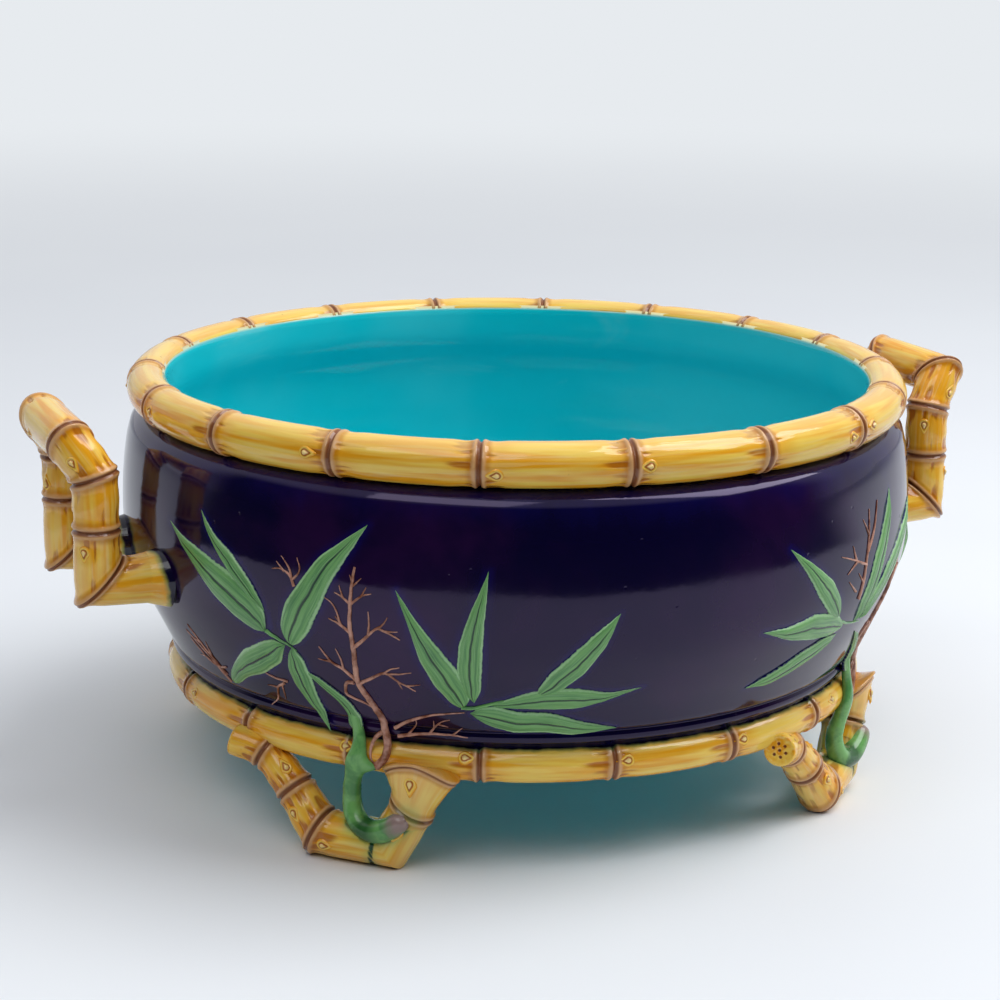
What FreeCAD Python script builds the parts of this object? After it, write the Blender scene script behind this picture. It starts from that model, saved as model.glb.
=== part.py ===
import FreeCAD, Part

import math
import os

import Sketcher
from FreeCAD import Placement, Rotation, Vector

# A round glazed-earthenware planter. Its frame stands on the floor at z = 0, with the
# bowl's axis along +Z, the two handles on the X axis and the front towards -Y.
# Lengths are in millimetres and angles in degrees.

SIZES = [
    # the bowl's wall, measured inwards from its widest circle and upwards from the base ring
    ("belly_radius", 168.7, "radius of the widest circle of the bowl"),
    ("ring_height", 44.6, "floor to the centre line of the base ring"),
    ("wall_foot_inset", 18.5, "belly to the foot of the sloping wall"),
    ("wall_foot_rise", 16.2, "base ring to the foot of the sloping wall"),
    ("slope_top_inset", 5.5, "belly to the top of the sloping wall"),
    ("slope_rise", 28.0, "height of the sloping wall"),
    ("turn_inset", 0.7, "belly to the end of the turn above the slope"),
    ("turn_rise", 17.0, "height of the turn above the slope"),
    ("turn_curve", 45.0, "radius of the turn above the slope"),
    ("flank_rise", 45.0, "height of the upright flank"),
    ("flank_curve", 146.0, "radius of the upright flank"),
    ("shoulder_inset", 4.2, "belly to the shoulder under the rim"),
    ("shoulder_curve", 8.0, "radius of the shoulder under the rim"),
    ("wall", 7.0, "thickness of the bowl's wall"),
    ("lip_width", 0.85, "flat top of the wall inside the rim"),
    ("neck_curve", 16.0, "radius of the inner wall under the neck"),
    ("floor_thickness", 8.0, "thickness of the bowl's floor"),
    ("floor_run", 12.4, "width of the curve between inner wall and floor"),
    ("floor_curve", 14.0, "radius of the curve between inner wall and floor"),
    ("foot_rim_width", 6.0, "width of the standing foot rim under the bowl"),
    ("recess_depth", 8.5, "depth of the hollow inside the foot rim"),
    # the two bamboo rings
    ("rim_inset", 12.4, "belly to the centre line of the rim rod"),
    ("rim_rise", 14.2, "shoulder to the centre line of the rim rod"),
    ("rim_rod", 8.7, "radius of the rim rod"),
    ("rim_seat_top", 135.0, "angle on the rim rod where its seat begins"),
    ("rim_seat_end", 268.0, "angle on the rim rod where its seat ends"),
    ("ring_inset", 25.9, "belly to the centre line of the base ring"),
    ("ring_rod", 7.6, "radius of the base ring's rod"),
    ("ring_seat_top", 72.0, "angle on the base ring where its seat begins"),
    ("ring_seat_end", 220.0, "angle on the base ring where its seat ends"),
    ("node_count", 18, "bamboo nodes round each ring"),
    ("node_start", 2.0, "angle of the first node from the handle axis"),
    ("node_turn", 2.2, "angle that one node covers"),
    ("node_lip", 0.8, "height of a node over its rod"),
    ("node_width", 5.5, "width of a node on a handle or foot"),
    # the handles
    ("grip_rod", 9.35, "radius of a handle's rod"),
    ("grip_spread", 27.5, "centre plane to each leg of a handle"),
    ("grip_reach", 21.5, "belly to the upright legs of a handle"),
    ("grip_lean", 8.4, "upright legs to the cross bar"),
    ("arm_rise", 57.0, "base ring to the lower arms"),
    ("elbow_rise", 42.7, "lower arms to the elbows"),
    ("bar_rise", 13.5, "elbows to the cross bar"),
    ("mid_node_rise", 21.9, "lower arms to the middle nodes of the legs"),
    ("bar_spread", 23.0, "centre plane to the top corners of a handle"),
    ("arm_flare", 12.2, "radius of a lower arm where it meets the wall"),
    ("arm_depth", 4.2, "how deep a lower arm is let into the wall"),
    # the feet, along (across), outwards from (out) and upwards from the base ring's circle
    ("foot_rod", 9.0, "radius of a foot's rod"),
    ("sole_cut", 0.5, "depth of the flat under a foot"),
    ("foot_out", 2.7, "base ring's circle to the centre line of the sole"),
    ("sole_left", 21.4, "foot's centre to the left end of the sole"),
    ("sole_right", 8.0, "foot's centre to the right end of the sole"),
    ("hook_across", 48.9, "foot's centre to the node under the ring"),
    ("hook_back", 6.3, "how far that node lies inside the ring's circle"),
    ("hook_drop", 8.8, "ring's centre line down to that node"),
    ("tip_across", 61.4, "foot's centre to the cut end"),
    ("tip_drop", 5.3, "ring's centre line down to the cut end"),
    ("tip_cap", 2.6, "length of the rounded cut end"),
    ("tip_face", 6.3, "radius of the cut end's face"),
    ("post_node_across", 17.8, "foot's centre to the node of the right post"),
    ("post_node_drop", 19.0, "ring's centre line down to that node"),
    ("post_across", 20.8, "foot's centre to the top of the right post"),
    ("post_drop", 2.6, "ring's centre line down to the top of the right post"),
    ("post_flare", 15.0, "half the width of the right post's flared top"),
    ("post_swell", 0.5, "how much deeper that top is than the rod"),
    # the raised decoration
    ("relief", 1.6, "how far leaves and twigs stand out of the wall"),
    ("shoot_rod", 4.6, "radius of a green shoot at its thickest"),
]

QUARTERS = [("front_left", -135.0), ("front_right", -45.0), ("back_right", 45.0), ("back_left", 135.0)]

# Leaves of a sprig: base and tip as (across, rise), then width and bow. Across runs along
# the belly to the right of the foot's centre, and rise is counted from the base ring.
LEFT_SPRIG = [
    ((-38.3, 49.2), (-94.2, 82.7), 16.0, 2.4),
    ((-37.4, 55.0), (-72.1, 91.2), 11.0, 1.5),
    ((-26.5, 45.5), (8.2, 97.2), 13.0, 3.5),
    ((-30.6, 44.5), (-76.0, 17.2), 12.5, 0.5),
    ((-26.5, 45.0), (-20.6, 10.2), 12.0, -4.8),
]
RIGHT_SPRIG = [
    ((44.2, 26.5), (19.7, 74.2), 12.0, 0.3),
    ((48.6, 28.5), (54.5, 83.2), 10.0, 4.2),
    ((79.0, 33.0), (103.6, 66.7), 11.5, 0.0),
    ((52.0, 28.2), (116.3, 34.2), 10.5, -0.6),
    ((46.5, 25.0), (108.9, 15.7), 11.0, 0.0),
]
TALL_SPRIG = [
    ((-52.0, 47.0), (-88.3, 83.2), 11.0, 1.0),
    ((-44.2, 43.0), (-98.6, 51.2), 12.0, 1.5),
    ((-47.1, 39.5), (-97.2, 25.7), 9.5, 1.0),
    ((-34.0, 40.5), (-13.2, 93.2), 13.0, 1.0),
    ((-27.5, 41.0), (23.6, 81.2), 12.0, -2.0),
]
SMALL_SPRIG = [
    ((50.0, 26.5), (37.0, 66.0), 10.5, 0.3),
    ((52.5, 28.0), (57.5, 72.0), 9.0, 3.0),
    ((66.0, 32.0), (79.0, 55.0), 9.0, 0.0),
    ((54.0, 28.2), (88.0, 33.0), 9.0, -0.6),
    ((51.5, 25.0), (83.0, 15.7), 9.5, 0.0),
]
SHEATH = ((-3.4, 8.0), (-22.0, 36.7), 6.5, 5.0)

# Twigs: the bends of each, then its width at the root.
TRUNK = [(7.4, 7.5), (5.9, 14.2), (2.1, 23.2), (0.0, 31.2), (1.0, 45.0)]
LOW_BRANCHES = [
    ([(0.0, 32.0), (13.2, 39.2), (25.0, 32.2)], 2.0),
    ([(12.4, 38.8), (19.6, 42.4)], 1.4),
    ([(0.6, 33.0), (-4.4, 31.0), (-3.6, 26.0), (1.8, 23.0)], 1.8),
]
TREE = LOW_BRANCHES + [
    (TRUNK + [(2.2, 61.2), (2.8, 71.2), (4.6, 79.0)], 4.6),
    ([(2.4, 49.2), (11.8, 58.2), (20.6, 57.2)], 1.9),
    ([(11.2, 57.6), (10.3, 64.2)], 1.4),
    ([(11.4, 57.8), (16.2, 63.2)], 1.4),
    ([(1.6, 54.2), (-4.6, 57.2)], 1.7),
    ([(2.3, 67.0), (10.3, 71.2)], 1.4),
    ([(0.2, 34.0), (-8.8, 42.2), (-14.7, 49.2)], 1.9),
    ([(-8.2, 41.6), (-4.4, 47.7)], 1.4),
]
SHORT_TREE = LOW_BRANCHES + [(TRUNK + [(1.6, 52.0)], 4.6)]
STRAYS_LEFT = [
    ([(-23.6, 80.2), (-30.9, 85.2)], 1.6),
    ([(-23.9, 80.0), (-20.6, 88.2)], 1.4),
    ([(-38.3, 25.2), (-50.0, 17.2)], 1.6),
    ([(-88.3, 38.2), (-99.0, 30.0), (-108.9, 16.2)], 1.8),
    ([(-98.4, 30.4), (-107.0, 29.0)], 1.4),
    ([(11.6, 15.4), (30.4, 21.2), (39.0, 22.4)], 1.9),
    ([(13.0, 11.6), (29.4, 15.2), (44.2, 13.6)], 1.9),
    ([(24.0, 13.6), (20.6, 17.4)], 1.4),
]
STRAYS_TALL = [
    ([(-38.6, 53.0), (-37.0, 68.2), (-35.6, 89.0)], 1.8),
    ([(-37.3, 67.0), (-46.0, 70.4), (-57.0, 74.2)], 1.5),
    ([(-45.0, 70.0), (-52.0, 66.0)], 1.4),
    ([(-36.8, 70.0), (-29.0, 80.0), (-26.5, 91.2)], 1.5),
    ([(-43.6, 57.2), (-50.0, 62.6)], 1.4),
    ([(-5.9, 70.0), (-4.9, 82.2)], 1.4),
    ([(12.6, 11.6), (29.4, 15.2), (46.2, 15.2)], 1.9),
]

# The line of a green shoot, as (across, out, up): its top from the wall and the ring's centre
# line, then over the ring from the ring's face, then on the foot from the top of its sole.
SHOOT_TOP = (-5.0, -1.0, 22.0)
SHOOT_OVER_RING = [(-3.2, 1.0, 5.0), (-7.2, -2.4, -13.5)]
SHOOT_ON_SOLE = [(-6.2, 4.2, 2.8), (-0.6, 6.6, -1.2), (6.9, 7.8, -0.8), (14.4, 8.8, 3.4)]

SQUARE_TO_SLOPE = (0.9, 0.43)  # inwards and upwards, square to the sloping wall
NODE_SLAB = 3.2  # side of the slab that cuts out a node, in radii of its rod
LEAF_POLES = [(0.22, 0.62), (0.66, 0.58)]  # share of a leaf's length, and of its width


class Size:
    """A size with the sheet expression that gives it, so that both always agree."""

    def __init__(self, text, value):
        self.text = text
        self.value = float(value)

    def joined(self, sign, other, value):
        text = other.text if isinstance(other, Size) else repr(float(other))
        return Size("(%s %s %s)" % (self.text, sign, text), value)

    def __add__(self, other):
        return self.joined("+", other, self.value + amount(other))

    def __sub__(self, other):
        return self.joined("-", other, self.value - amount(other))

    def __mul__(self, other):
        return self.joined("*", other, self.value * amount(other))


def amount(thing):
    return thing.value if isinstance(thing, Size) else float(thing)


def cosine(angle):
    return Size("cos(%s * 1 deg)" % angle.text, math.cos(math.radians(angle.value)))


def sine(angle):
    return Size("sin(%s * 1 deg)" % angle.text, math.sin(math.radians(angle.value)))


def fill_sheet(doc):
    """Writes the driving sizes into the sheet and returns them by name."""
    sheet = doc.addObject("Spreadsheet::Sheet", "sizes")
    for row, (alias, value, meaning) in enumerate(SIZES, start=1):
        sheet.set("A%d" % row, alias)
        sheet.set("B%d" % row, str(value))
        sheet.set("C%d" % row, meaning)
        sheet.setAlias("B%d" % row, alias)
    doc.recompute()
    return {alias: Size("sizes." + alias, sheet.get(alias)) for alias, _, _ in SIZES}


def bind(thing, prop, size):
    """Ties a property to the sheet."""
    thing.setExpression(prop, size.text)


# ---------------------------------------------------------------- sketches and turned bodies

def origin_plane(body, role):
    return next(part for part in body.Origin.OriginFeatures if part.Role == role)


def arc_through(start, end, radius):
    """The minor arc of a positive radius from start to end, bulging to the left of the way,
    or to the right for a negative radius."""
    chord = end - start
    half = chord.Length / 2
    rise = math.sqrt(max(radius * radius - half * half, 0.0))
    side = Vector(-chord.y, chord.x, 0).normalize()
    centre = start + chord * 0.5 - side * math.copysign(rise, radius)
    first = math.atan2(start.y - centre.y, start.x - centre.x)
    last = math.atan2(end.y - centre.y, end.x - centre.x)
    circle = Part.Circle(centre, Vector(0, 0, 1), abs(radius))
    if radius > 0:
        return Part.ArcOfCircle(circle, last, first), (2, 1)
    return Part.ArcOfCircle(circle, first, last), (1, 2)


def profile_sketch(body, name, corners, curves):
    """A closed half section on the XZ plane. Each corner is (radius, height), and curves
    gives the radius of each edge that isn't straight, by the edge's number."""
    sketch = body.newObject("Sketcher::SketchObject", name)
    sketch.AttachmentSupport = (origin_plane(body, "XZ_Plane"), [""])
    sketch.MapMode = "FlatFace"
    points = [Vector(amount(x), amount(y), 0) for x, y in corners]
    ends = []
    for number, point in enumerate(points):
        following = points[(number + 1) % len(points)]
        if number in curves:
            radius, side = curves[number]
            arc, order = arc_through(point, following, side * radius.value)
            ends.append((sketch.addGeometry(arc, False), order))
        else:
            line = Part.LineSegment(point, following)
            ends.append((sketch.addGeometry(line, False), (1, 2)))
    for number, (edge, order) in enumerate(ends):
        following, next_order = ends[(number + 1) % len(ends)]
        sketch.addConstraint(Sketcher.Constraint("Coincident", edge, order[1], following, next_order[0]))
    for number, (edge, order) in enumerate(ends):
        place_corner(sketch, edge, order[0], corners[number])
        if number in curves:
            radius = curves[number][0]
            held = sketch.addConstraint(Sketcher.Constraint("Radius", edge, radius.value))
            bind(sketch, "Constraints[%d]" % held, radius)
    return sketch


def place_corner(sketch, edge, end, corner):
    """Holds one end of an edge at its radius and height."""
    across, up = corner
    if amount(across) == 0:
        sketch.addConstraint(Sketcher.Constraint("PointOnObject", edge, end, -2))
    else:
        held = sketch.addConstraint(
            Sketcher.Constraint("DistanceX", -1, 1, edge, end, across.value))
        bind(sketch, "Constraints[%d]" % held, across)
    held = sketch.addConstraint(Sketcher.Constraint("DistanceY", -1, 1, edge, end, up.value))
    bind(sketch, "Constraints[%d]" % held, up)


def revolve(body, name, sketch, angle=None):
    """Turns a half section about the bowl's axis."""
    turned = body.newObject("PartDesign::Revolution", name)
    turned.Profile = sketch
    turned.ReferenceAxis = (sketch, ["V_Axis"])
    turned.Angle = 360.0
    if angle is not None:
        bind(turned, "Angle", angle)
    sketch.Visibility = False
    return turned


def rod_point(centre, rod, angle):
    """A point of a ring's round section."""
    return (centre[0] + rod * cosine(angle), centre[1] + rod * sine(angle))


class Bowl:
    """The corners of the bowl's wall, which the rings and the decoration share."""

    def __init__(self, size):
        belly = size["belly_radius"]
        self.ring = (belly - size["ring_inset"], size["ring_height"])
        foot_height = size["ring_height"] + size["wall_foot_rise"]
        slope_height = foot_height + size["slope_rise"]
        turn_height = slope_height + size["turn_rise"]
        shoulder_height = turn_height + size["flank_rise"]
        self.rim = (belly - size["rim_inset"], shoulder_height + size["rim_rise"])
        self.wall_foot = (belly - size["wall_foot_inset"], foot_height)
        self.slope_top = (belly - size["slope_top_inset"], slope_height)
        self.turn_end = (belly - size["turn_inset"], turn_height)
        self.shoulder = (belly - size["shoulder_inset"], shoulder_height)
        self.lip = rod_point(self.rim, size["rim_rod"], size["rim_seat_top"])
        self.rim_foot = rod_point(self.rim, size["rim_rod"], size["rim_seat_end"])
        self.ring_top = rod_point(self.ring, size["ring_rod"], size["ring_seat_top"])
        self.ring_foot = rod_point(self.ring, size["ring_rod"], size["ring_seat_end"])

    def outside(self):
        """The outer wall from the rim down to the base ring."""
        return [self.rim_foot, self.shoulder, self.turn_end, self.slope_top, self.wall_foot,
                self.ring_top]

    def outside_curves(self, size, first):
        return {first: (size["shoulder_curve"], 1), first + 1: (size["flank_curve"], 1),
                first + 2: (size["turn_curve"], 1)}

    def radius_at(self, height):
        """The wall's radius at a height, straight between its corners."""
        corners = [(amount(z), amount(r)) for r, z in reversed(self.outside())]
        for (low, near), (high, far) in zip(corners, corners[1:]):
            if height <= high:
                return near + (far - near) * (height - low) / (high - low)
        return corners[-1][1]


def make_bowl(doc, size, bowl):
    """The thrown bowl: outer wall, foot rim, hollow underside, floor and inner wall."""
    body = doc.addObject("PartDesign::Body", "bowl")
    wall = size["wall"]
    underside = bowl.ring_foot[1] + size["recess_depth"]
    floor = underside + size["floor_thickness"]
    foot_inside = bowl.ring_foot[0] - size["foot_rim_width"]
    slant_in, slant_up = SQUARE_TO_SLOPE
    inner_foot = (bowl.wall_foot[0] - wall * slant_in, bowl.wall_foot[1] + wall * slant_up)
    inner_slope = (bowl.slope_top[0] - wall * slant_in, bowl.slope_top[1] + wall * slant_up)
    inner_turn = (bowl.turn_end[0] - wall, bowl.turn_end[1])
    inner_shoulder = (bowl.shoulder[0] - wall, bowl.shoulder[1] - wall)
    inner_neck = (bowl.rim_foot[0] - wall, bowl.rim_foot[1])
    lip_inside = (bowl.lip[0] - size["lip_width"], bowl.lip[1])
    axis = Size("0", 0)
    corners = [lip_inside, bowl.lip] + bowl.outside()
    corners += [bowl.ring_foot, (foot_inside, bowl.ring_foot[1]), (foot_inside, underside),
                (axis, underside), (axis, floor), (inner_foot[0] - size["floor_run"], floor),
                inner_foot, inner_slope, inner_turn, inner_shoulder, inner_neck]
    curves = bowl.outside_curves(size, 2)
    curves[13] = (size["floor_curve"], -1)
    curves[15] = (size["turn_curve"] - wall, -1)
    curves[16] = (size["flank_curve"] - wall, -1)
    curves[17] = (size["neck_curve"], -1)
    revolve(body, "bowl_turning", profile_sketch(body, "bowl_section", corners, curves))
    return body


def make_relief_skin(doc, size, bowl):
    """A thin skin on the outer wall, from which the raised decoration is cut."""
    body = doc.addObject("PartDesign::Body", "relief_skin")
    inner = bowl.outside()
    outer = [(radius + size["relief"], height) for radius, height in inner]
    corners = outer + inner[::-1]
    curves = bowl.outside_curves(size, 0)
    last = len(corners) - 2
    for number, (radius, side) in bowl.outside_curves(size, 0).items():
        curves[last - number] = (radius, -side)
    revolve(body, "skin_turning", profile_sketch(body, "skin_section", corners, curves))
    return body


def make_bamboo_ring(doc, size, bowl_body, name, centre, rod, seat_top, seat_end):
    """A bamboo rod bent into a ring, flat where it is luted to the bowl, with its nodes."""
    body = doc.addObject("PartDesign::Body", name + "_turned")
    rod_section = ring_section(body, name + "_section", centre, rod, seat_top, seat_end)
    revolve(body, name + "_turning", rod_section)
    node_section = ring_section(body, name + "_node_section", centre, rod + size["node_lip"],
                                seat_top, seat_end)
    node = revolve(body, name + "_node", node_section, size["node_turn"])
    pattern = body.newObject("PartDesign::PolarPattern", name + "_nodes")
    pattern.Originals = [node]
    pattern.Axis = (rod_section, ["V_Axis"])
    pattern.Angle = 360.0
    bind(pattern, "Occurrences", size["node_count"])
    body.Tip = pattern
    bind(body, "Placement.Rotation.Angle", size["node_start"] - size["node_turn"] * 0.5)
    return cut(doc, name, body, bowl_body)


def ring_section(body, name, centre, rod, seat_top, seat_end):
    """A round section with a straight back along its seat on the bowl."""
    sketch = body.newObject("Sketcher::SketchObject", name)
    sketch.AttachmentSupport = (origin_plane(body, "XZ_Plane"), [""])
    sketch.MapMode = "FlatFace"
    middle = Vector(centre[0].value, centre[1].value, 0)
    circle = Part.Circle(middle, Vector(0, 0, 1), rod.value)
    arc = sketch.addGeometry(Part.ArcOfCircle(
        circle, math.radians(seat_end.value), math.radians(seat_top.value)), False)
    top = middle + turned(rod.value, seat_top.value)
    low = middle + turned(rod.value, seat_end.value)
    back = sketch.addGeometry(Part.LineSegment(top, low), False)
    sketch.addConstraint(Sketcher.Constraint("Coincident", arc, 2, back, 1))
    sketch.addConstraint(Sketcher.Constraint("Coincident", arc, 1, back, 2))
    place_corner(sketch, arc, 3, centre)
    held = sketch.addConstraint(Sketcher.Constraint("Radius", arc, rod.value))
    bind(sketch, "Constraints[%d]" % held, rod)
    for end, angle in ((1, seat_top), (2, seat_end)):
        height = centre[1] + rod * sine(angle)
        held = sketch.addConstraint(Sketcher.Constraint("DistanceY", -1, 1, back, end, height.value))
        bind(sketch, "Constraints[%d]" % held, height)
    return sketch


def turned(length, angle):
    """A vector of a length at an angle, on a sketch."""
    return Vector(length * math.cos(math.radians(angle)), length * math.sin(math.radians(angle)), 0)


# ---------------------------------------------------------------- bamboo rods

def shape_feature(doc, name, shape):
    thing = doc.addObject("Part::Feature", name)
    thing.Shape = shape
    return thing


def facing(point, direction):
    """A placement at a point with its Z axis along a direction."""
    return Placement(point, Rotation(Vector(0, 0, 1), direction))


def swept_rod(doc, name, spine, radius, corners="Right corner"):
    """A round rod along a polyline, mitred or rounded at its corners."""
    edges = spine.Shape.Edges
    section = doc.addObject("Part::Circle", name + "_round")
    bind(section, "Radius", radius)
    section.Placement = facing(edges[0].Vertexes[0].Point, edges[0].tangentAt(0))
    rod = doc.addObject("Part::Sweep", name)
    rod.Sections = [section]
    rod.Spine = (spine, ["Edge%d" % number for number in range(1, len(edges) + 1)])
    rod.Solid = True
    rod.Frenet = False
    rod.Transition = corners
    return rod


def bamboo_rod(doc, size, name, points, radius, nodes):
    """A mitred bamboo rod with a raised node at each (place, direction)."""
    spine = shape_feature(doc, name + "_line", Part.makePolygon(points))
    rod = swept_rod(doc, name + "_rod", spine, radius)
    thick = swept_rod(doc, name + "_thick", spine, radius + size["node_lip"])
    slabs = []
    for number, (place, direction) in enumerate(nodes, start=1):
        slab = doc.addObject("Part::Box", "%s_node_%d" % (name, number))
        side = radius * NODE_SLAB
        for prop, length in (("Length", side), ("Width", side), ("Height", size["node_width"])):
            bind(slab, prop, length)
        corner = Vector(-side.value / 2, -side.value / 2, -size["node_width"].value / 2)
        slab.Placement = facing(place, direction).multiply(Placement(corner, Rotation()))
        slabs.append(slab)
    nodes_group = doc.addObject("Part::MultiFuse", name + "_slabs")
    nodes_group.Shapes = slabs
    return [rod, common(doc, name + "_rings", thick, nodes_group)]


def bisector(before, corner, after):
    """The direction square to the mitre between two runs."""
    return ((corner - before).normalize() + (after - corner).normalize()).normalize()


def along(start, end, share):
    return start + (end - start) * share


def fuse(doc, name, parts):
    joined = doc.addObject("Part::MultiFuse", name)
    joined.Shapes = parts
    joined.Refine = True
    return joined


def cut(doc, name, base, tool):
    trimmed = doc.addObject("Part::Cut", name)
    trimmed.Base = base
    trimmed.Tool = tool
    return trimmed


def common(doc, name, base, tool):
    shared = doc.addObject("Part::Common", name)
    shared.Base = base
    shared.Tool = tool
    return shared


def rotated_copy(doc, name, source, angle):
    """The same solid turned about the bowl's axis."""
    copy = doc.addObject("Part::Compound", name)
    copy.Links = [source]
    copy.Placement = Placement(Vector(), Rotation(Vector(0, 0, 1), angle))
    return copy


def make_handles(doc, size, bowl, body):
    """Two mitred bamboo handles, luted to the wall by their lower arms."""
    leg_x = size["belly_radius"].value + size["grip_reach"].value
    bar_x = leg_x + size["grip_lean"].value
    spread = size["grip_spread"].value
    arm_z = size["ring_height"].value + size["arm_rise"].value
    elbow_z = arm_z + size["elbow_rise"].value
    bar_z = elbow_z + size["bar_rise"].value
    root_x = bowl.radius_at(arm_z) - size["arm_depth"].value
    near = [Vector(root_x, -spread, arm_z), Vector(leg_x, -spread, arm_z),
            Vector(leg_x, -spread, elbow_z), Vector(bar_x, -size["bar_spread"].value, bar_z)]
    points = near + [Vector(p.x, -p.y, p.z) for p in reversed(near)]
    root, corner, elbow, top = near
    mid = Vector(leg_x, -spread, arm_z + size["mid_node_rise"].value)
    nodes = [(corner, bisector(root, corner, elbow)), (mid, Vector(0, 0, 1)),
             (elbow, bisector(mid, elbow, top)), (top, bisector(elbow, top, points[4]))]
    nodes += [(Vector(p.x, -p.y, p.z), Vector(d.x, -d.y, d.z)) for p, d in nodes]
    parts = bamboo_rod(doc, size, "handle", points, size["grip_rod"], nodes)
    for side in (-1, 1):
        flare = doc.addObject("Part::Cone", "arm_flare_%s" % ("near" if side < 0 else "far"))
        bind(flare, "Radius1", size["arm_flare"])
        bind(flare, "Radius2", size["grip_rod"])
        flare.Height = leg_x - root_x - size["grip_rod"].value
        flare.Placement = facing(Vector(root_x, side * spread, arm_z), Vector(1, 0, 0))
        parts.append(flare)
    whole = fuse(doc, "handle_whole", parts)
    right = cut(doc, "handle_right", whole, body)
    left = rotated_copy(doc, "handle_left", right, 180.0)
    return [right, left]


# ---------------------------------------------------------------- feet and shoots

def foot_frame(angle):
    """Turns (across, out, up) about a foot at an angle into the planter's frame."""
    out = Vector(math.cos(math.radians(angle)), math.sin(math.radians(angle)), 0)
    right = Vector(-out.y, out.x, 0)
    return lambda across, outwards, up: right * across + out * outwards + Vector(0, 0, up)


def foot_lines(size, bowl, place):
    """The centre line of a foot from its cut end, under the ring, to the flared post."""
    circle = bowl.ring[0].value
    ring_z = size["ring_height"].value
    sole_z = size["foot_rod"].value - size["sole_cut"].value
    out = circle + size["foot_out"].value
    hook_out = circle - size["hook_back"].value
    tip = place(-size["tip_across"].value, hook_out, ring_z - size["tip_drop"].value)
    hook = place(-size["hook_across"].value, hook_out, ring_z - size["hook_drop"].value)
    left = place(-size["sole_left"].value, out, sole_z)
    right = place(size["sole_right"].value, out, sole_z)
    node = place(size["post_node_across"].value, out, ring_z - size["post_node_drop"].value)
    top = place(size["post_across"].value, out, ring_z - size["post_drop"].value)
    return tip, hook, left, right, node, top


def make_foot(doc, size, bowl):
    """The front left foot before it is fitted to the ring: a rod of cut and mitred bamboo."""
    place = foot_frame(QUARTERS[0][1])
    tip, hook, left, right, node, top = foot_lines(size, bowl, place)
    nodes = [(hook, bisector(tip, hook, left)), (along(hook, left, 0.5), left - hook),
             (left, bisector(hook, left, right)), (node, node - right)]
    parts = bamboo_rod(doc, size, "foot", [tip, hook, left, right, node], size["foot_rod"], nodes)
    cap = doc.addObject("Part::Cone", "foot_cut_end")
    bind(cap, "Radius1", size["foot_rod"])
    bind(cap, "Radius2", size["tip_face"])
    bind(cap, "Height", size["tip_cap"])
    cap.Placement = facing(tip, tip - hook)
    round_end = doc.addObject("Part::Circle", "post_foot_round")
    bind(round_end, "Radius", size["foot_rod"])
    round_end.Placement = facing(node, node - right)
    flared = doc.addObject("Part::Ellipse", "post_top_oval")
    bind(flared, "MajorRadius", size["post_flare"])
    bind(flared, "MinorRadius", size["foot_rod"] + size["post_swell"])
    turn = Rotation(place(1, 0, 0), Vector(), top - node, "ZXY")
    flared.Placement = Placement(top, turn)
    post = doc.addObject("Part::Loft", "foot_post")
    post.Sections = [round_end, flared]
    post.Solid = True
    post.Ruled = True
    whole = fuse(doc, "foot_whole", parts + [cap, post])
    return cut(doc, "foot_standing", whole, make_ground(doc, size))


def make_ground(doc, size):
    """A block below z = 0, which cuts the soles flat."""
    ground = doc.addObject("Part::Box", "ground")
    reach = size["belly_radius"] * 2
    depth = size["foot_rod"] * 4
    for prop, length in (("Length", reach * 2), ("Width", reach * 2), ("Height", depth),
                         ("Placement.Base.x", reach * -1), ("Placement.Base.y", reach * -1),
                         ("Placement.Base.z", depth * -1)):
        bind(ground, prop, length)
    return ground


def make_shoot(doc, size, bowl, skin):
    """A green shoot: it hangs over the base ring, hooks on to the sole and ends in a sheath
    leaf that lies up the wall."""
    place = foot_frame(QUARTERS[0][1])
    ring_z = size["ring_height"].value
    sole_top = size["foot_rod"].value * 2 - size["sole_cut"].value
    sole_out = bowl.ring[0].value + size["foot_out"].value
    ring_face = bowl.ring[0].value + size["ring_rod"].value
    across, out, up = SHOOT_TOP
    points = [place(across, bowl.radius_at(ring_z + up) + out, ring_z + up)]
    points += [place(across, ring_face + out, ring_z + up) for across, out, up in SHOOT_OVER_RING]
    points += [place(across, sole_out + out, sole_top + up) for across, out, up in SHOOT_ON_SOLE]
    spine = shape_feature(doc, "shoot_line", Part.makePolygon(points))
    stem = swept_rod(doc, "shoot_stem", spine, size["shoot_rod"], "Round corner")
    tip = doc.addObject("Part::Cone", "shoot_tip")
    bind(tip, "Radius1", size["shoot_rod"])
    bind(tip, "Radius2", size["shoot_rod"] * 0.4)
    bind(tip, "Height", size["shoot_rod"] * 0.7)
    tip.Placement = facing(points[-1], points[-1] - points[-2])
    prisms = relief_prisms(doc, size, "sheath", bowl, QUARTERS[0][1], [leaf_outline(SHEATH)])
    leaf = common(doc, "sheath", skin, prisms)
    return fuse(doc, "shoot_whole", [stem, tip, leaf])


# ---------------------------------------------------------------- raised decoration

def leaf_outline(leaf):
    """A pointed leaf as two curves from its base to its tip, in (across, rise)."""
    base, tip, width, bow = leaf
    start = Vector(base[0], base[1], 0)
    end = Vector(tip[0], tip[1], 0)
    way = end - start
    side = Vector(-way.y, way.x, 0).normalize()
    if side.y < 0:
        side = side * -1
    edges = []
    for sign in (1, -1):
        poles = [start + way * far + side * (bow + sign * width * wide) for far, wide in LEAF_POLES]
        edges.append([start] + poles + [end])
    return edges


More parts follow.
